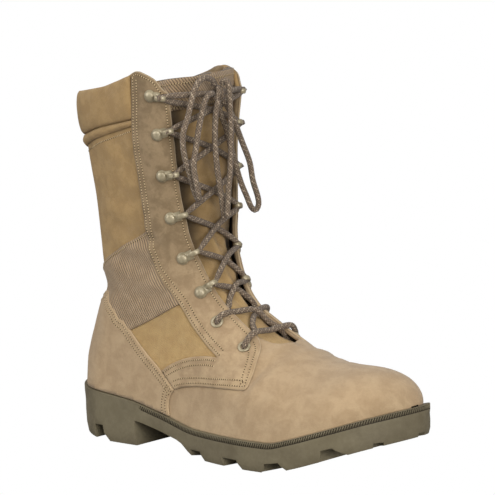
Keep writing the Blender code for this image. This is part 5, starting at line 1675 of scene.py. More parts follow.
@dataclass
class Tongue:
    """Canvas tongue between the facings, bound with webbing at its top.

    Attributes:
        crown: how far it swells out between the facings.
        wing: length of its side parts under them.
        wall: its thickness.
        under: its depth below the last's surface.
        root: least half width of its front.
        foot_row: row where it begins under the vamp.
        top_row: row of its top edge.
        slant: rows by which the top edge is higher on the medial side.
        flat: share of its half width that lies between the facings.
        fold: height of its folds.
        pleat: height of the fine pleats low down.
        channel: depth of the gap beside the facings.
        binding: rows of points that the binding covers.
        size: rows and columns of points.
    """

    crown: float = 0.0085
    wing: float = 0.0080
    wall: float = 0.0030
    under: float = 0.0034
    root: float = 0.0140
    foot_row: float = 6.7
    top_row: float = 27.55
    slant: float = 0.28
    flat: float = 0.7
    fold: float = 0.0014
    pleat: float = 0.0010
    channel: float = 0.0055
    binding: int = 13
    size: tuple[int, int] = (150, 45)

    def point(self, row: np.ndarray, share: np.ndarray) -> np.ndarray:
        """Points of its front; share runs from -1 at the lateral edge to 1 at the medial edge."""
        v = LAST.values(row)
        edge = LAST.throat_gap(row)
        wide = np.maximum(edge, self.root)
        y = np.minimum(1.0, np.abs(share) / self.flat) * wide
        settled = np.clip((row - LAST.throat_row) / 2.0, 0.0, 1.0)
        between = (y < edge) & (settled > 0.0)
        swell = np.clip((row - LAST.throat_row) / 7.0, 0.0, 1.0)
        rise = self.crown * swell * (1.0 - (y / np.maximum(edge, 1e-6)) ** 2) / v["length"]
        across = np.where(between, LAST.across_at_half(row, edge, self.under) + rise,
                          LAST.across_at_half(row, y, self.under))
        outer = np.abs(share) > self.flat
        across = np.where(outer, across - self.wing * (np.abs(share) - self.flat) / (1.0 - self.flat)
                          / v["length"], across)
        y = np.where(outer, LAST.half_width(v, across, self.under), y)
        middle = LAST.middle(v, np.minimum(across, 1.0))
        return np.stack([LAST.between(v, "x", across), middle + np.sign(share) * y,
                         LAST.between(v, "z", across)], axis=-1)

    def grid(self, rows: int, columns: int) -> tuple[np.ndarray, np.ndarray]:
        """Rows and shares of a grid over its front."""
        share = np.linspace(-1.0, 1.0, columns)[None, :]
        level = np.linspace(0.0, 1.0, rows)[:, None]
        row = self.foot_row + (self.top_row + self.slant * share - self.foot_row) * level
        return row, np.broadcast_to(share, row.shape)

    def front(self, rows: int, columns: int) -> np.ndarray:
        """Grid of its front, with soft folds."""
        row, share = self.grid(rows, columns)
        points = self.point(row, share)
        points = points + self.follow(points)
        y, z = points[..., 1], points[..., 2]
        fold = self.fold * np.sin(230.0 * z + 7.0 * share + 1.6 * np.sin(3.0 * share)) * np.cos(1.9 * share)
        fold = fold + 0.6 * self.fold * np.sin(120.0 * z - 150.0 * y)
        fold = fold * np.clip((row - 9.0) / 3.0, 0.0, 1.0) * np.clip((27.0 - row) / 3.0, 0.35, 1.0)
        pleated = np.clip((row - 10.0) / 2.0, 0.0, 1.0) * np.clip((19.0 - row) / 4.0, 0.0, 1.0)
        fold = fold + self.pleat * pleated * np.sin(480.0 * y + 60.0 * z)
        points[..., 0] += fold - self.channel * self.hollow(row, share)
        return points

    @staticmethod
    def hollow(row: np.ndarray, share: np.ndarray) -> np.ndarray:
        """Share of the gap's depth beside the facings."""
        lateral = np.exp(-((share + 0.52) / 0.17) ** 2) * np.clip((row - 13.0) / 4.0, 0.0, 1.0)
        medial = np.exp(-((share - 0.66) / 0.19) ** 2) * np.clip(1.5 - (row - 13.0) / 5.0, 0.15, 1.5)
        return lateral + medial * np.clip(row - 8.0, 0.0, 1.0)

    def mark_hollow(self, item: Thing, points: np.ndarray) -> None:
        """Give each vertex the depth of the gap where it lies; the finishes paint shade there from it."""
        deep = self.hollow(*self.grid(*points.shape[:2])).ravel()
        tree = KDTree(len(deep))
        for index, point in enumerate(points.reshape(-1, 3)):
            tree.insert(point, index)
        tree.balance()
        values = [float(deep[tree.find(vertex.co)[1]]) for vertex in item.data.vertices]
        item.data.attributes.new("deep", "FLOAT", "POINT").data.foreach_set("value", values)

    @staticmethod
    def follow(points: np.ndarray) -> np.ndarray:
        """How far the tongue moves back with the dents round the throat."""
        x, z = points[..., 0], points[..., 2]
        share = np.clip(0.5 + points[..., 1] / 0.03, 0.0, 1.0)
        depth = sum(dent.relief(x, z) * (share if dent.side else 1.0) for dent in THROAT_DENTS)
        steep = np.clip((z - 0.085) / 0.05, 0.0, 1.0)
        return np.stack([depth * (0.35 + 0.55 * steep), 0.0 * depth, depth * (1.1 - 0.9 * steep)], axis=-1)

    @staticmethod
    def normals(points: np.ndarray) -> np.ndarray:
        """Forward normals of a grid."""
        normal = unit(np.cross(np.gradient(points, axis=0), np.gradient(points, axis=1)))
        return normal * np.where(normal[..., :1] < 0.0, -1.0, 1.0)

    def sheet(self, name: str, points: np.ndarray, thickness: float) -> Thing:
        """Closed sheet behind a grid of front points."""
        back = points - self.normals(points) * thickness
        mesh = bmesh.new()
        uv = grid_uv(points)
        return join_skins(name, mesh, add_grid(mesh, points, 0, uv), add_grid(mesh, back, 0, uv))

    def build(self, finishes: Looks, repeater: Repeater) -> None:
        """Make the tongue, its binding and the binding's seam."""
        points = self.front(*self.size)
        tongue = self.sheet("tongue_canvas", points, self.wall)
        self.mark_hollow(tongue, points)
        place_on_body(tongue, ("tongue",), "canvas", finishes["canvas"])
        top = points[-self.binding:]
        top = top + self.normals(top) * 0.0010
        binding = self.sheet("tongue_binding", top, 0.0050)
        place_on_body(binding, (), "webbing", finishes["webbing"])
        thread = Seam("tongue", "webbing")
        for index in (1 - self.binding, -3):
            normal = self.normals(points)[index]
            thread.run(points[index] + normal * 0.0012, normal)
        thread.sew(finishes, repeater)


@dataclass
class Outsole:
    """Moulded rubber outsole with lugs, heel block and ribbed edge.

    Attributes:
        lug_depth: depth of the gaps between lugs.
        heel_block: length of the heel block.
        breast: height of the arch behind it.
        heel_bevel: rise of the heel's rear edge at distances from its back.
        band: height of the ribbed band at the top edge.
        groove: depth of the band.
        lug_reach: how far the side gaps reach inward.
        gap_slant: their turn in plan, in degrees.
        side_gaps: where they start and end, as shares of the length.
        toe_gaps: directions of the gaps round the toe, in degrees.
        heel_notch: start and end of the notch in the heel's sides.
        notch_middle: half width of the rib that is left between the notches.
        soften: width of the bevel on every edge.
        rib_pitch: distance between ribs.
        rib_slant: their lean, in degrees.
        rib: their thickness outward and along.
    """

    lug_depth: float = 0.0062
    heel_block: float = 0.0750
    breast: float = 0.0185
    heel_bevel: tuple[tuple[float, float], ...] = (
        (0.0, 0.0095), (0.003, 0.0068), (0.008, 0.0050), (0.016, 0.0036), (0.024, 0.0024), (0.0316, 0.0013),
        (0.036, 0.0004), (0.040, 0.0))
    band: float = 0.0038
    groove: float = 0.0005
    lug_reach: float = 0.030
    gap_slant: float = 14.0
    side_gaps: tuple[tuple[float, float], ...] = (
        (0.468, 0.507), (0.594, 0.642), (0.712, 0.768), (0.850, 0.898))
    toe_gaps: tuple[float, ...] = (-38.0, 8.0, 46.0)
    heel_notch: tuple[float, float] = (0.104, 0.133)
    notch_middle: float = 0.014
    soften: float = 0.0006
    rib_pitch: float = 0.0019
    rib_slant: float = 24.0
    rib: tuple[float, float] = (0.0009, 0.0007)

    @property
    def heel_front(self) -> float:
        """X of the heel block's front."""
        return LAST.at_share(self.heel_block / LAST.length)

    def loop(self, inset: float) -> np.ndarray:
        """Outline in plan, anticlockwise from the heel's back."""
        back, tip = -LAST.heel_centre, LAST.tip
        turn = np.linspace(0.0, math.pi / 2.0, 25)[1:]
        heel = back + LAST.heel_round * (1.0 - np.cos(turn))
        toe = tip - LAST.toe_round * (1.0 - np.cos(turn))
        x = np.concatenate([heel, np.linspace(heel[-1], toe[-1], 50)[1:-1], toe[::-1]])
        x = back + inset + (x - back) * (LAST.length - 2.0 * inset) / LAST.length
        half, shift = LAST.outline_half(x, inset), LAST.sole_shift(x)
        lateral = np.stack([x, shift - half], axis=1)
        medial = np.stack([x, shift + half], axis=1)[::-1]
        ends = [[(back + inset, LAST.sole_shift(back))], [(tip - inset, LAST.sole_shift(tip))]]
        return np.vstack([ends[0], lateral, ends[1], medial])

    def bottom(self, x: np.ndarray) -> np.ndarray:
        """Ground side before the lugs are cut."""
        run, rise = zip(*self.heel_bevel)
        return np.interp(x + LAST.heel_centre, run, rise) + LAST.sole_bottom(x)

    def body(self) -> Thing:
        """Uncut outsole."""
        levels = ((0.0016, 0.0), (0.0006, 0.18), (0.0004, 0.45), (0.0006, 0.66))
        mesh = bmesh.new()
        rings = []
        for inset, share in levels:
            plan = self.loop(inset)
            z = self.bottom(plan[:, 0]) + share * (LAST.sole_top(plan[:, 0]) - self.bottom(plan[:, 0]))
            rings.append(np.column_stack([plan, z]))
        start = self.heel_front + 0.002
        for inset, drop, deep in ((0.0002, self.band, 0.0), (0.0002, self.band - 0.0002, 1.0),
                                  (0.0002, 0.0005, 1.0), (0.0002, 0.0004, 0.0), (0.0004, 0.0001, 0.0),
                                  (0.0011, 0.0, 0.0)):
            plan = self.loop(inset)
            cut = self.groove * deep * np.clip((plan[:, 0] - start) / 0.004, 0.0, 1.0)
            inner = self.loop(inset + self.groove)
            plan = plan + (inner - plan) * (cut / self.groove)[:, None]
            rings.append(np.column_stack([plan, LAST.sole_top(plan[:, 0]) - drop]))
        rings = np.array(rings)
        verts = [[mesh.verts.new(p) for p in ring] for ring in rings]
        count = len(verts[0])
        for level, (lower, upper) in enumerate(zip(verts, verts[1:])):
            for i in range(count):
                face = mesh.faces.new((lower[i], lower[(i + 1) % count], upper[(i + 1) % count], upper[i]))
                # Faces of the band's recess take the second slot: painted shade behind the ribs
                if level in (len(levels), len(levels) + 1) and lower[i].co.x > start + 0.002:
                    face.material_index = 1
        half = count // 2
        for ring, up in ((verts[0], False), (verts[-1], True)):
            for i in range(half):
                corners = [ring[i], ring[i + 1], ring[-i - 1], ring[-i]]
                if i == 0:
                    corners = [ring[0], ring[1], ring[-1]]
                elif i == half - 1:
                    corners = [ring[i], ring[i + 1], ring[-i]]
                mesh.faces.new(corners if up else corners[::-1])
        return mesh_object("outsole_rubber", mesh)

    def cutters(self) -> list[bpy.types.Object]:
        """Arch, lug gaps and heel notches as cutting shapes."""
        shapes = []

        def box(size: Sequence[float], matrix: Matrix) -> None:
            mesh = bmesh.new()
            bmesh.ops.create_cube(mesh, size=1.0, matrix=matrix @ Matrix.Diagonal((*size, 1.0)))
            shapes.append(mesh_object("sole_cutter", mesh))

        def prism(corners: Sequence[tuple[float, float]], low: float, high: float,
                  matrix: Matrix = Matrix.Identity(4)) -> None:
            mesh = bmesh.new()
            base = [mesh.verts.new((x, low, z)) for x, z in corners]
            grown = bmesh.ops.extrude_face_region(mesh, geom=[mesh.faces.new(base)])["geom"]
            moved = [p for p in grown if isinstance(p, bmesh.types.BMVert)]
            bmesh.ops.translate(mesh, verts=moved, vec=(0.0, high - low, 0.0))
            mesh.transform(matrix)
            shapes.append(mesh_object("sole_cutter", mesh))

        breast, arch_end = self.heel_front, LAST.at_share(0.4)
        lug_start, deep = LAST.at_share(0.468), -0.01
        prism(((breast, deep), (breast - 0.0012, self.breast), (breast + 0.006, self.breast - 0.0008),
               (arch_end, 0.55 * self.breast), (arch_end + 0.006, 0.45 * self.breast), (lug_start, 0.0),
               (lug_start + 0.004, deep)), -LAST.ball_width, LAST.ball_width)
        lug = self.lug_depth
        for start, end in self.side_gaps:
            middle = LAST.at_share(0.5 * (start + end))
            ground = float(LAST.sole_bottom(middle))
            rise = float(LAST.sole_bottom(middle + 0.01) - LAST.sole_bottom(middle - 0.01))
            slope = math.atan2(rise, 0.02)
            half = 0.5 * (end - start) * LAST.length
            for side in (-1, 1):
                edge = float(LAST.sole_shift(middle) + side * LAST.sole_half(middle))
                centre = Vector((middle, edge - side * 0.45 * self.lug_reach, ground))
                turn = (Matrix.Rotation(math.radians(side * self.gap_slant), 4, "Z")
                        @ Matrix.Rotation(-slope, 4, "Y"))
                prism(((-half, -lug), (-half, lug), (half, lug), (half + 0.0008, 0.75 * lug),
                       (half + 0.0046, 0.0), (half + 0.0092, -lug)), -0.5 * self.lug_reach,
                      0.5 * self.lug_reach, Matrix.Translation(centre) @ turn)
        middle = LAST.at_share(0.845)
        hub = Vector((middle, float(LAST.sole_shift(LAST.at_share(0.95))), 0.0))
        for angle in self.toe_gaps:
            turn = math.radians(angle)
            place = hub + Vector((math.cos(turn), math.sin(turn), 0.0)) * (LAST.tip - middle) * 0.93
            centre = Vector((place.x, place.y, float(LAST.sole_bottom(place.x)) - 0.1 * lug))
            box((1.1 * LAST.toe_round * 0.45, 0.0075, 1.1 * lug),
                Matrix.Translation(centre) @ Matrix.Rotation(turn, 4, "Z"))
        first, last = (LAST.at_share(share) for share in self.heel_notch)
        for side in (-1, 1):
            ends = sorted((side * self.notch_middle, side * LAST.ball_width))
            prism(((first, deep), (first, 1.9 * lug), (last, 1.9 * lug), (last + 0.0012, 0.9 * lug),
                   (last + 0.0062, 0.0), (last + 0.0072, deep)), *ends)
        return shapes

    def build(self, finishes: Looks, repeater: Repeater) -> None:
        """Cut the outsole and add the ribs of its top edge."""
        sole = self.body()
        for finish in ("rubber", "rubber_groove"):
            sole.data.materials.append(finishes[finish])
        cutters = self.cutters()
        for cutter in cutters:
            modifier = sole.modifiers.new("cut", "BOOLEAN")
            modifier.object = cutter
            modifier.operation = "DIFFERENCE"
            modifier.solver = "EXACT"
        soften = sole.modifiers.new("soften", "BEVEL")
        soften.width = self.soften
        soften.segments = 2
        soften.limit_method = "ANGLE"
        soften.angle_limit = math.radians(50.0)
        sole = evaluated(sole)
        for cutter in cutters:
            bpy.data.objects.remove(cutter, do_unlink=True)
        sole.data.shade_smooth()
        sole.data.set_sharp_from_angle(angle=math.radians(32.0))
        place_on_body(sole, ("outsole",), "rubber")
        plan = self.loop(0.0)
        plan = np.vstack([plan, plan[:1]])
        middle = LAST.sole_top(plan[:, 0]) - 0.5 * self.band
        path = smooth_path(np.column_stack([plan, middle]), self.rib_pitch)
        tangent = np.gradient(path, axis=0)
        frames = []
        slant = Matrix.Rotation(math.radians(self.rib_slant), 4, "Y")
        for point, ahead in zip(path, tangent):
            if point[0] > self.heel_front + 0.004:
                outward = Vector((ahead[1], -ahead[0], 0.0)).normalized()
                place = Vector(point) - outward * 0.0005
                frames.append(basis(Vector(ahead), (0.0, 0.0, 1.0), place) @ slant)
        ribs = repeater.place("sole_edge_ribs", repeater.rib, frames, (*self.rib, self.band - self.rib[1]),
                              finishes["rubber"])
        place_on_body(ribs, (), "rubber")


@dataclass
class Fittings:
    """Speed hooks and eyelets.

    Attributes:
        seat: height of the facing over the last.
        rivet: radius of the rivet head.
        rise: height of its dome.
        plate: thickness of the hook's plate.
        plate_width: its width.
        reach: distance from the rivet to the loop.
        loop: radius of the loop.
        wire: half of its thickness.
        flatten: height of the loop, as a share of its width.
        bow: how far the medial hooks lean toward their loops.
        medial_drop: how much lower they sit.
        eyelet_lift: how much higher the eyelets sit.
        eyelet_ring: radius of the eyelet's crest.
        eyelet_round: half width and height of its rolled edge.
        barrel: radius and depth of its barrel.
    """

    seat: float = 0.0023
    rivet: float = 0.0036
    rise: float = 0.0018
    plate: float = 0.0012
    plate_width: float = 0.0066
    reach: float = 0.0098
    loop: float = 0.0036
    wire: float = 0.0009
    flatten: float = 0.72
    bow: float = 0.45
    medial_drop: float = 0.0012
    eyelet_lift: float = 0.0003
    eyelet_ring: float = 0.0036
    eyelet_round: tuple[float, float] = (0.0011, 0.0007)
    barrel: tuple[float, float] = (0.0025, 0.0022)

    @staticmethod
    def turned(mesh: bmesh.types.BMesh, profile: Sequence[tuple[float, float]], matrix: Matrix,
               steps: int = 24, closed: bool = False) -> None:
        """Add a shape turned about Z."""
        rings = []
        for k in range(steps):
            spin = Matrix.Rotation(2.0 * math.pi * k / steps, 4, "Z")
            rings.append([mesh.verts.new(matrix @ spin @ Vector((r, 0.0, z))) for r, z in profile])
        count = len(profile)
        for k in range(steps):
            ring, after = rings[k], rings[(k + 1) % steps]
            for j in range(count if closed else count - 1):
                b = (j + 1) % count
                mesh.faces.new((ring[j], after[j], after[b], ring[b]))

    def hook(self) -> Thing:
        """Rivet head, plate and lace loop, with X toward the loop and Z outward."""
        mesh = bmesh.new()
        top = self.plate + self.rise
        dome = [(0.0, top)] + [(self.rivet * math.sin(a), self.plate + self.rise * math.cos(a))
                               for a in np.linspace(0.2, math.pi / 2.0, 7)]
        dome += [(self.rivet + 0.0001, 0.0010), (self.rivet + 0.0008, 0.0008), (self.rivet + 0.0009, 0.0002),
                 (0.0, 0.0002)]
        self.turned(mesh, dome[::-1], Matrix.Identity(4))
        neck = self.reach - 0.55 * self.loop
        size = Matrix.Diagonal((neck, self.plate_width, self.plate, 1.0))
        plate = bmesh.ops.create_cube(mesh, size=1.0, matrix=Matrix.Translation(
            (0.5 * neck, 0.0, 0.5 * self.plate)) @ size)
        edges = list({edge for vert in plate["verts"] for edge in vert.link_edges})
        bmesh.ops.bevel(mesh, geom=edges, offset=0.0003, segments=2, affect="EDGES")
        stand = Matrix.Translation((self.reach, 0.0, self.flatten * self.loop + self.wire + 0.0001))
        shape = (stand @ Matrix.Diagonal((1.0, 1.0, self.flatten, 1.0))
                 @ Matrix.Rotation(math.pi / 2.0, 4, "X"))
        angles = np.linspace(0.0, 2.0 * math.pi, 11)[:-1]
        band = [(self.loop + self.wire * math.cos(a), 2.1 * self.wire * math.sin(a)) for a in angles]
        self.turned(mesh, band, shape, closed=True)
        return mesh_object("hook_shape", mesh)

    def eyelet(self) -> Thing:
        """Rolled eyelet ring about Z with its barrel."""
        mesh = bmesh.new()
        angles = np.linspace(-math.pi * 0.5, math.pi, 9)
        wide, high = self.eyelet_round
        ring = [(self.eyelet_ring + wide * math.cos(a), high * math.sin(a)) for a in angles[::-1]]
        self.turned(mesh, [(self.barrel[0], -self.barrel[1])] + ring, Matrix.Identity(4))
        return mesh_object("eyelet_shape", mesh)

    def build(self, finishes: Looks, repeater: Repeater) -> None:
        """Place hooks and eyelets on both facings."""
        for name, shape, places, first in (("hook", self.hook(), HOOK_PLACES, 1),
                                           ("eyelet", self.eyelet(), EYELET_PLACES, 7)):
            frames, nodes = [], []
            for side in Side:
                for index, place in enumerate(places):
                    point = LAST.surface(*place, side.value)
                    normal = LAST.normal(*place, side.value)
                    aim = np.array((0.0, 0.0, 1.0))
                    if name == "hook":
                        aim = LAST.surface(*HOOK_LOOPS[index], side.value) - point
                    lift = self.seat + (self.eyelet_lift if name == "eyelet" else 0.0)
                    if name == "hook" and side is Side.MEDIAL:
                        lift -= self.medial_drop
                        normal = unit(normal + self.bow * unit(aim))
                    frames.append(basis(aim, normal, point + normal * lift))
                    nodes.append(f"{name}_{side.label}_{index + first}")
            item = repeater.place(f"{name}s", repeater.copy, frames, (1.0, 1.0, 1.0),
                                  finishes["painted_metal"], shape)
            bpy.data.objects.remove(shape, do_unlink=True)
            place_on_body(item, nodes, "painted_metal")


# Free ends of the lace, as offsets in metres from the knot's centre
LOOP_LATERAL = ((0.0005, -0.0032, 0.0060), (0.0015, -0.0056, 0.0096), (0.0030, -0.0166, 0.0116),
                (0.0030, -0.0254, 0.0047), (0.0024, -0.0332, -0.0145), (0.0016, -0.0382, -0.0270),
                (0.0016, -0.0376, -0.0415), (0.0014, -0.0318, -0.0570), (0.0010, -0.0290, -0.0660),
                (0.0028, -0.0284, -0.0712), (0.0060, -0.0298, -0.0722), (0.0084, -0.0326, -0.0670),
                (0.0080, -0.0344, -0.0570), (0.0072, -0.0346, -0.0480),
                (0.0066, -0.0310, -0.0365), (0.0060, -0.0245, -0.0170), (0.0050, -0.0165, -0.0020),
                (0.0040, -0.0082, 0.0008))
LOOP_MEDIAL = ((0.0017, 0.0039, -0.0044), (0.0040, 0.0081, -0.0125), (0.0042, 0.0120, -0.0200),
               (0.0030, 0.0205, -0.0355), (0.0020, 0.0288, -0.0510), (0.0024, 0.0310, -0.0645),
               (0.0026, 0.0352, -0.0765), (0.0024, 0.0360, -0.0828), (0.0018, 0.0332, -0.0864),
               (0.0012, 0.0293, -0.0838), (0.0006, 0.0258, -0.0760), (-0.0006, 0.0214, -0.0650),
               (-0.0010, 0.0166, -0.0505), (-0.0006, 0.0132, -0.0415),
               (-0.0004, 0.0082, -0.0250), (-0.0008, 0.0036, -0.0140), (-0.0006, 0.0016, -0.0072))
END_LATERAL = ((0.0040, -0.0030, -0.0046), (0.0046, -0.0066, -0.0120), (0.0046, -0.0090, -0.0310),
               (0.0056, -0.0094, -0.0510), (0.0066, -0.0075, -0.0710), (0.0076, -0.0061, -0.0890))
END_MEDIAL = ((0.0030, 0.0020, 0.0064), (0.0048, 0.0026, 0.0086), (0.0076, 0.0030, 0.0080),
              (0.0092, 0.0032, 0.0040), (0.0092, 0.0033, -0.0020), (0.0090, 0.0034, -0.0100),
              (0.0094, 0.0026, -0.0270), (0.0104, -0.0007, -0.0515),
              (0.0120, -0.0056, -0.0690), (0.0126, -0.0086, -0.0865))


@dataclass
class Lace:
    """Lace from the bar at the lowest eyelets to the bow at the top.

    Attributes:
        tongue: tongue that it lies on.
        width: its diameter.
        clear: gap under it.
        sides: points round it.
        loop_lift: height of the hooks' loops over the last, on the lateral and the medial side.
        eyelet_lift: heights over the last where it enters and leaves an eyelet.
        knot_place: row and height over the tongue of the knot's centre.
        knot_size: half depth, width and height of the knot's wrap.
    """

    tongue: Tongue
    width: float = 0.0042
    clear: float = 0.0006
    sides: int = 12
    loop_lift: tuple[float, float] = (0.0056, 0.0020)
    eyelet_lift: tuple[float, float] = (0.0018, -0.0036)
    knot_place: tuple[float, float] = (26.45, 0.0100)
    knot_size: tuple[float, float, float] = (0.0030, 0.0030, 0.0040)

    def over_tongue(self, row: float, share: float, lift: float) -> np.ndarray:
        """Point in front of the tongue."""
        point = self.tongue.point(np.array(row), np.array(share))
        return point + self.tongue.follow(point) + LAST.forward(row) * lift

    def on_upper(self, place: tuple[float, float], side: int, lift: float) -> np.ndarray:
        """Point over the upper."""
        return LAST.surface(*place, side, lift)

    def loop_centre(self, level: int, side: int) -> np.ndarray:
        """Centre of a hook's loop, counted from 1 at the top."""
        return self.on_upper(HOOK_LOOPS[level - 1], side, self.loop_lift[0 if side < 0 else 1])

    def knot_centre(self) -> np.ndarray:
        """Centre of the knot."""
        return self.over_tongue(self.knot_place[0], 0.0, self.knot_place[1])

    def half(self, first: int) -> np.ndarray:
        """Route of one half of the lace, from the middle of the bar to the knot.

        Args:
            first: side of the lowest eyelet that it enters, -1 or 1.

        Returns:
            Its centre line.
        """
        low = 0.5 * self.width + self.clear
        over = 0.5 * self.width + 0.0024
        under = 0.0012 + 0.3 * self.width
        high = first > 0
        points = [
            self.over_tongue(8.89, 0.0, low + 0.40 * self.width),
            self.on_upper((8.89, 0.935), first, over - 0.0003),
            self.on_upper((8.89, 0.868), first, over - 0.0005),
            *(self.on_upper(EYELET_PLACES[1], first, lift) for lift in self.eyelet_lift),
            self.over_tongue(9.1, first * 0.58, under),
            self.over_tongue(9.6, first * 0.36, low + 0.0004),
            self.over_tongue(10.05, 0.0, low + (self.width if high else 0.0004)),
            self.over_tongue(10.4, -first * 0.5, low + 0.0022),
            self.on_upper((10.7, 0.890), -first, over + 0.0001),
            *(self.on_upper(EYELET_PLACES[0], -first, lift) for lift in self.eyelet_lift),
            self.over_tongue(11.0, -first * 0.60, under),
            self.over_tongue(11.35, -first * 0.40, low + 0.0002),
        ]
        side = -first
        previous = 11.25
        for level in range(6, 0, -1):
            row = 0.5 * (previous + HOOK_LOOPS[level - 1][0])
            lift = low + (self.width * 0.95 if (level % 2 == 0) == high else 0.0)
            points.append(self.over_tongue(row, 0.0, lift))
            side = -side
            for up in (-0.0012, 0.0012):
                points.append(self.loop_centre(level, side) + np.array((0.0, side * 0.0006, up)))
            previous = HOOK_LOOPS[level - 1][0]
        knot = self.knot_centre()
        last = points[-1]
        points.append(last + (knot - last) * 0.5 + np.array((0.0016, 0.0, 0.0004)))
        points.append(knot + unit(last - knot) * 0.0030)
        return smooth_path(points, 0.0016)

    def knot(self) -> Thing:
        """Bow knot: a flat wrap round the two loops."""
        deep, wide, high = self.knot_size
        turns = []
        for t in np.linspace(0.0, 1.0, 44):
            angle = 2.0 * math.pi * (1.55 * t - 0.2)
            turns.append(self.knot_centre() + np.array((
                deep * math.cos(angle) + 0.0006,
                wide * (2.0 * t - 1.0) + 0.0018 * math.sin(angle * 0.5), high * math.sin(angle))))
        path = smooth_path(turns, 0.0011)
        return tube_mesh("lace_knot_wrap", path, 0.48 * self.width, self.sides)

    def build(self, material: Look) -> None:
        """Make the laced part, the knot and the bow's cords."""
        held = [f"lace_crossing_{i}" for i in range(1, 8)]
        held += ["lace_bar", "lace_top_lateral", "lace_top_medial"]
        path = np.vstack([self.half(-1)[::-1], self.half(1)[1:]])
        tight = [self.loop_centre(level, side) for level in range(1, 7) for side in (-1, 1)]
        lace = tube_mesh("lace_laced", path, 0.5 * self.width, self.sides, tight)
        place_on_body(lace, held, "lace_cord", material)
        knot = self.knot()
        place_on_body(knot, ("lace_knot",), "lace_cord", material)
        centre = self.knot_centre()
        for node, table, far_end in (("lace_loop_lateral", LOOP_LATERAL, "object"),
                                     ("lace_loop_medial", LOOP_MEDIAL, "object"),
                                     ("lace_end_lateral", END_LATERAL, "bare"),
                                     ("lace_end_medial", END_MEDIAL, "bare")):
            path = smooth_path(centre + np.array(table), 0.0020)
            cord = tube_mesh(node.replace("lace_", "bow_"), path, 0.5 * self.width, self.sides)
            place_on_body(cord, (node,), "lace_cord", material)


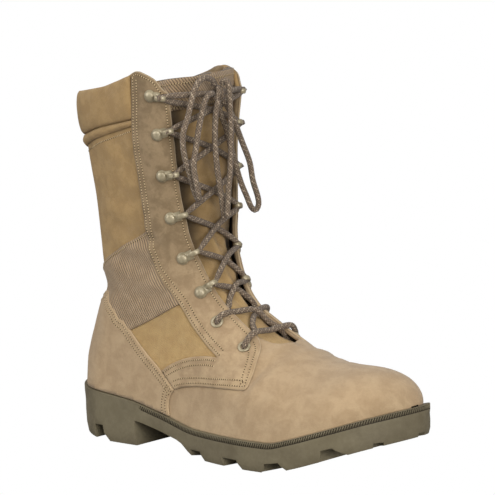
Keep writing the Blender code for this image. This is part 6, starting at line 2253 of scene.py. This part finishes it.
@dataclass
class Studio:
    """Floor, light and camera.

    Attributes:
        aim: point that the camera looks at before the shift.
        azimuth: camera's direction in plan, in degrees from -Y toward +X.
        elevation: its height over the horizon, in degrees.
        distance: its distance from the aim.
        roll: its roll, in degrees.
        focal: focal length in pixels of the picture.
        shift: how far the aim lies from the picture's middle, in pixels.
        sensor: width of the sensor in millimetres.
        picture: width of the picture in pixels.
        ambient: strength of the white surroundings.
        lamp_aim: point that the lamps face.
        lamps: name, place, size and power of each.
    """

    aim: tuple[float, float, float] = (0.089, 0.0, 0.130)
    azimuth: float = 43.6
    elevation: float = 7.19
    distance: float = 1.4856
    roll: float = -2.66
    focal: float = 2070.0
    shift: tuple[float, float] = (-33.5, 18.6)
    sensor: float = 36.0
    picture: float = 495.0
    ambient: float = 0.42
    lamp_aim: tuple[float, float, float] = (0.09, 0.0, 0.12)
    lamps: tuple[tuple[str, tuple[float, float, float], float, float], ...] = (
        ("key", (0.95, -1.15, 1.15), 0.9, 9.0), ("fill", (-0.7, -1.3, 0.8), 1.1, 11.5),
        ("toe", (1.5, -0.55, 0.42), 0.7, 13.0), ("top", (0.1, 0.2, 1.7), 0.8, 5.5))

    def camera(self) -> None:
        """Camera at the photograph's angle, its framing folded into the aim."""
        a, e, r = (math.radians(v) for v in (self.azimuth, self.elevation, self.roll))
        back = Vector((math.sin(a) * math.cos(e), -math.cos(a) * math.cos(e), math.sin(e)))
        right = Vector((math.cos(a), math.sin(a), 0.0))
        up = back.cross(right)
        right, up = right * math.cos(r) + up * math.sin(r), up * math.cos(r) - right * math.sin(r)
        place = Vector(self.aim) + back * self.distance
        back = (back + right * (self.shift[0] / self.focal) - up * (self.shift[1] / self.focal)).normalized()
        right = (right - back * right.dot(back)).normalized()
        up = back.cross(right)
        data = bpy.data.cameras.new("camera")
        data.sensor_width = self.sensor
        data.lens = self.focal * self.sensor / self.picture
        camera = new_object("camera", data)
        camera.matrix_world = Matrix.Translation(place) @ Matrix((right, up, back)).transposed().to_4x4()
        bpy.context.scene.camera = camera

    def light(self, name: str, place: Sequence[float], size: float, power: float) -> None:
        """Square area light that points at the boot."""
        data = bpy.data.lights.new(name, "AREA")
        data.size = size
        data.energy = power
        lamp = new_object(name, data)
        back = (Vector(place) - Vector(self.lamp_aim)).normalized()
        right = Vector((0.0, 0.0, 1.0)).cross(back).normalized()
        turn = Matrix((right, back.cross(right), back)).transposed().to_4x4()
        lamp.matrix_world = Matrix.Translation(place) @ turn

    def build(self) -> None:
        """Set up the studio."""
        self.camera()
        for lamp in self.lamps:
            self.light(*lamp)
        world = bpy.data.worlds.new("studio")
        world.use_nodes = True
        g = Graph(world.node_tree)
        seen = g.add("ShaderNodeLightPath").outputs["Is Camera Ray"]
        strength = g.math("ADD", g.math("MULTIPLY", seen, 1.0 - self.ambient), self.ambient)
        g.feed(world.node_tree.nodes["Background"], {"Strength": strength, "Color": (1.0, 1.0, 1.0)})
        bpy.context.scene.world = world
        self.floor()
        bpy.context.scene.view_settings.view_transform = "Standard"

    @staticmethod
    def floor() -> None:
        """Sheet that looks white to the camera and throws back little light."""
        mesh = bmesh.new()
        bmesh.ops.create_grid(mesh, x_segments=1, y_segments=1, size=6.0)
        floor = mesh_object("studio_floor", mesh)
        material, g, shader = new_material("floor")
        g.feed(shader, {"Base Color": (0.30, 0.30, 0.30), "Roughness": 0.9})
        white = g.add("ShaderNodeEmission", {"Color": (1.0, 1.0, 1.0), "Strength": 1.0})
        seen = g.add("ShaderNodeLightPath").outputs["Is Camera Ray"]
        both = g.add("ShaderNodeMixShader", {0: seen, 1: shader.outputs[0], 2: white.outputs[0]})
        g.feed(material.node_tree.nodes["Material Output"], {0: both.outputs[0]})
        dress(floor, (material,))


def main() -> None:
    """Build the boot piece by piece."""
    logging.basicConfig(level=logging.INFO, format="%(name)s: %(message)s")
    Studio().build()
    effects = Effects()
    finishes = {finish.name: finish.build(effects) for finish in FINISHES}
    repeater = Repeater()
    tongue = Tongue()
    lace = Lace(tongue)
    lace.build(LaceFinish().build(math.pi * lace.width))
    Upper().build(finishes)
    Overlays().build(finishes, repeater)
    Collar().build(finishes, repeater)
    tongue.build(finishes, repeater)
    Outsole().build(finishes, repeater)
    Fittings().build(finishes, repeater)
    dress(frame["nodes"]["insole"], (finishes["insole_board"],))


if __name__ == "__main__":
    main()
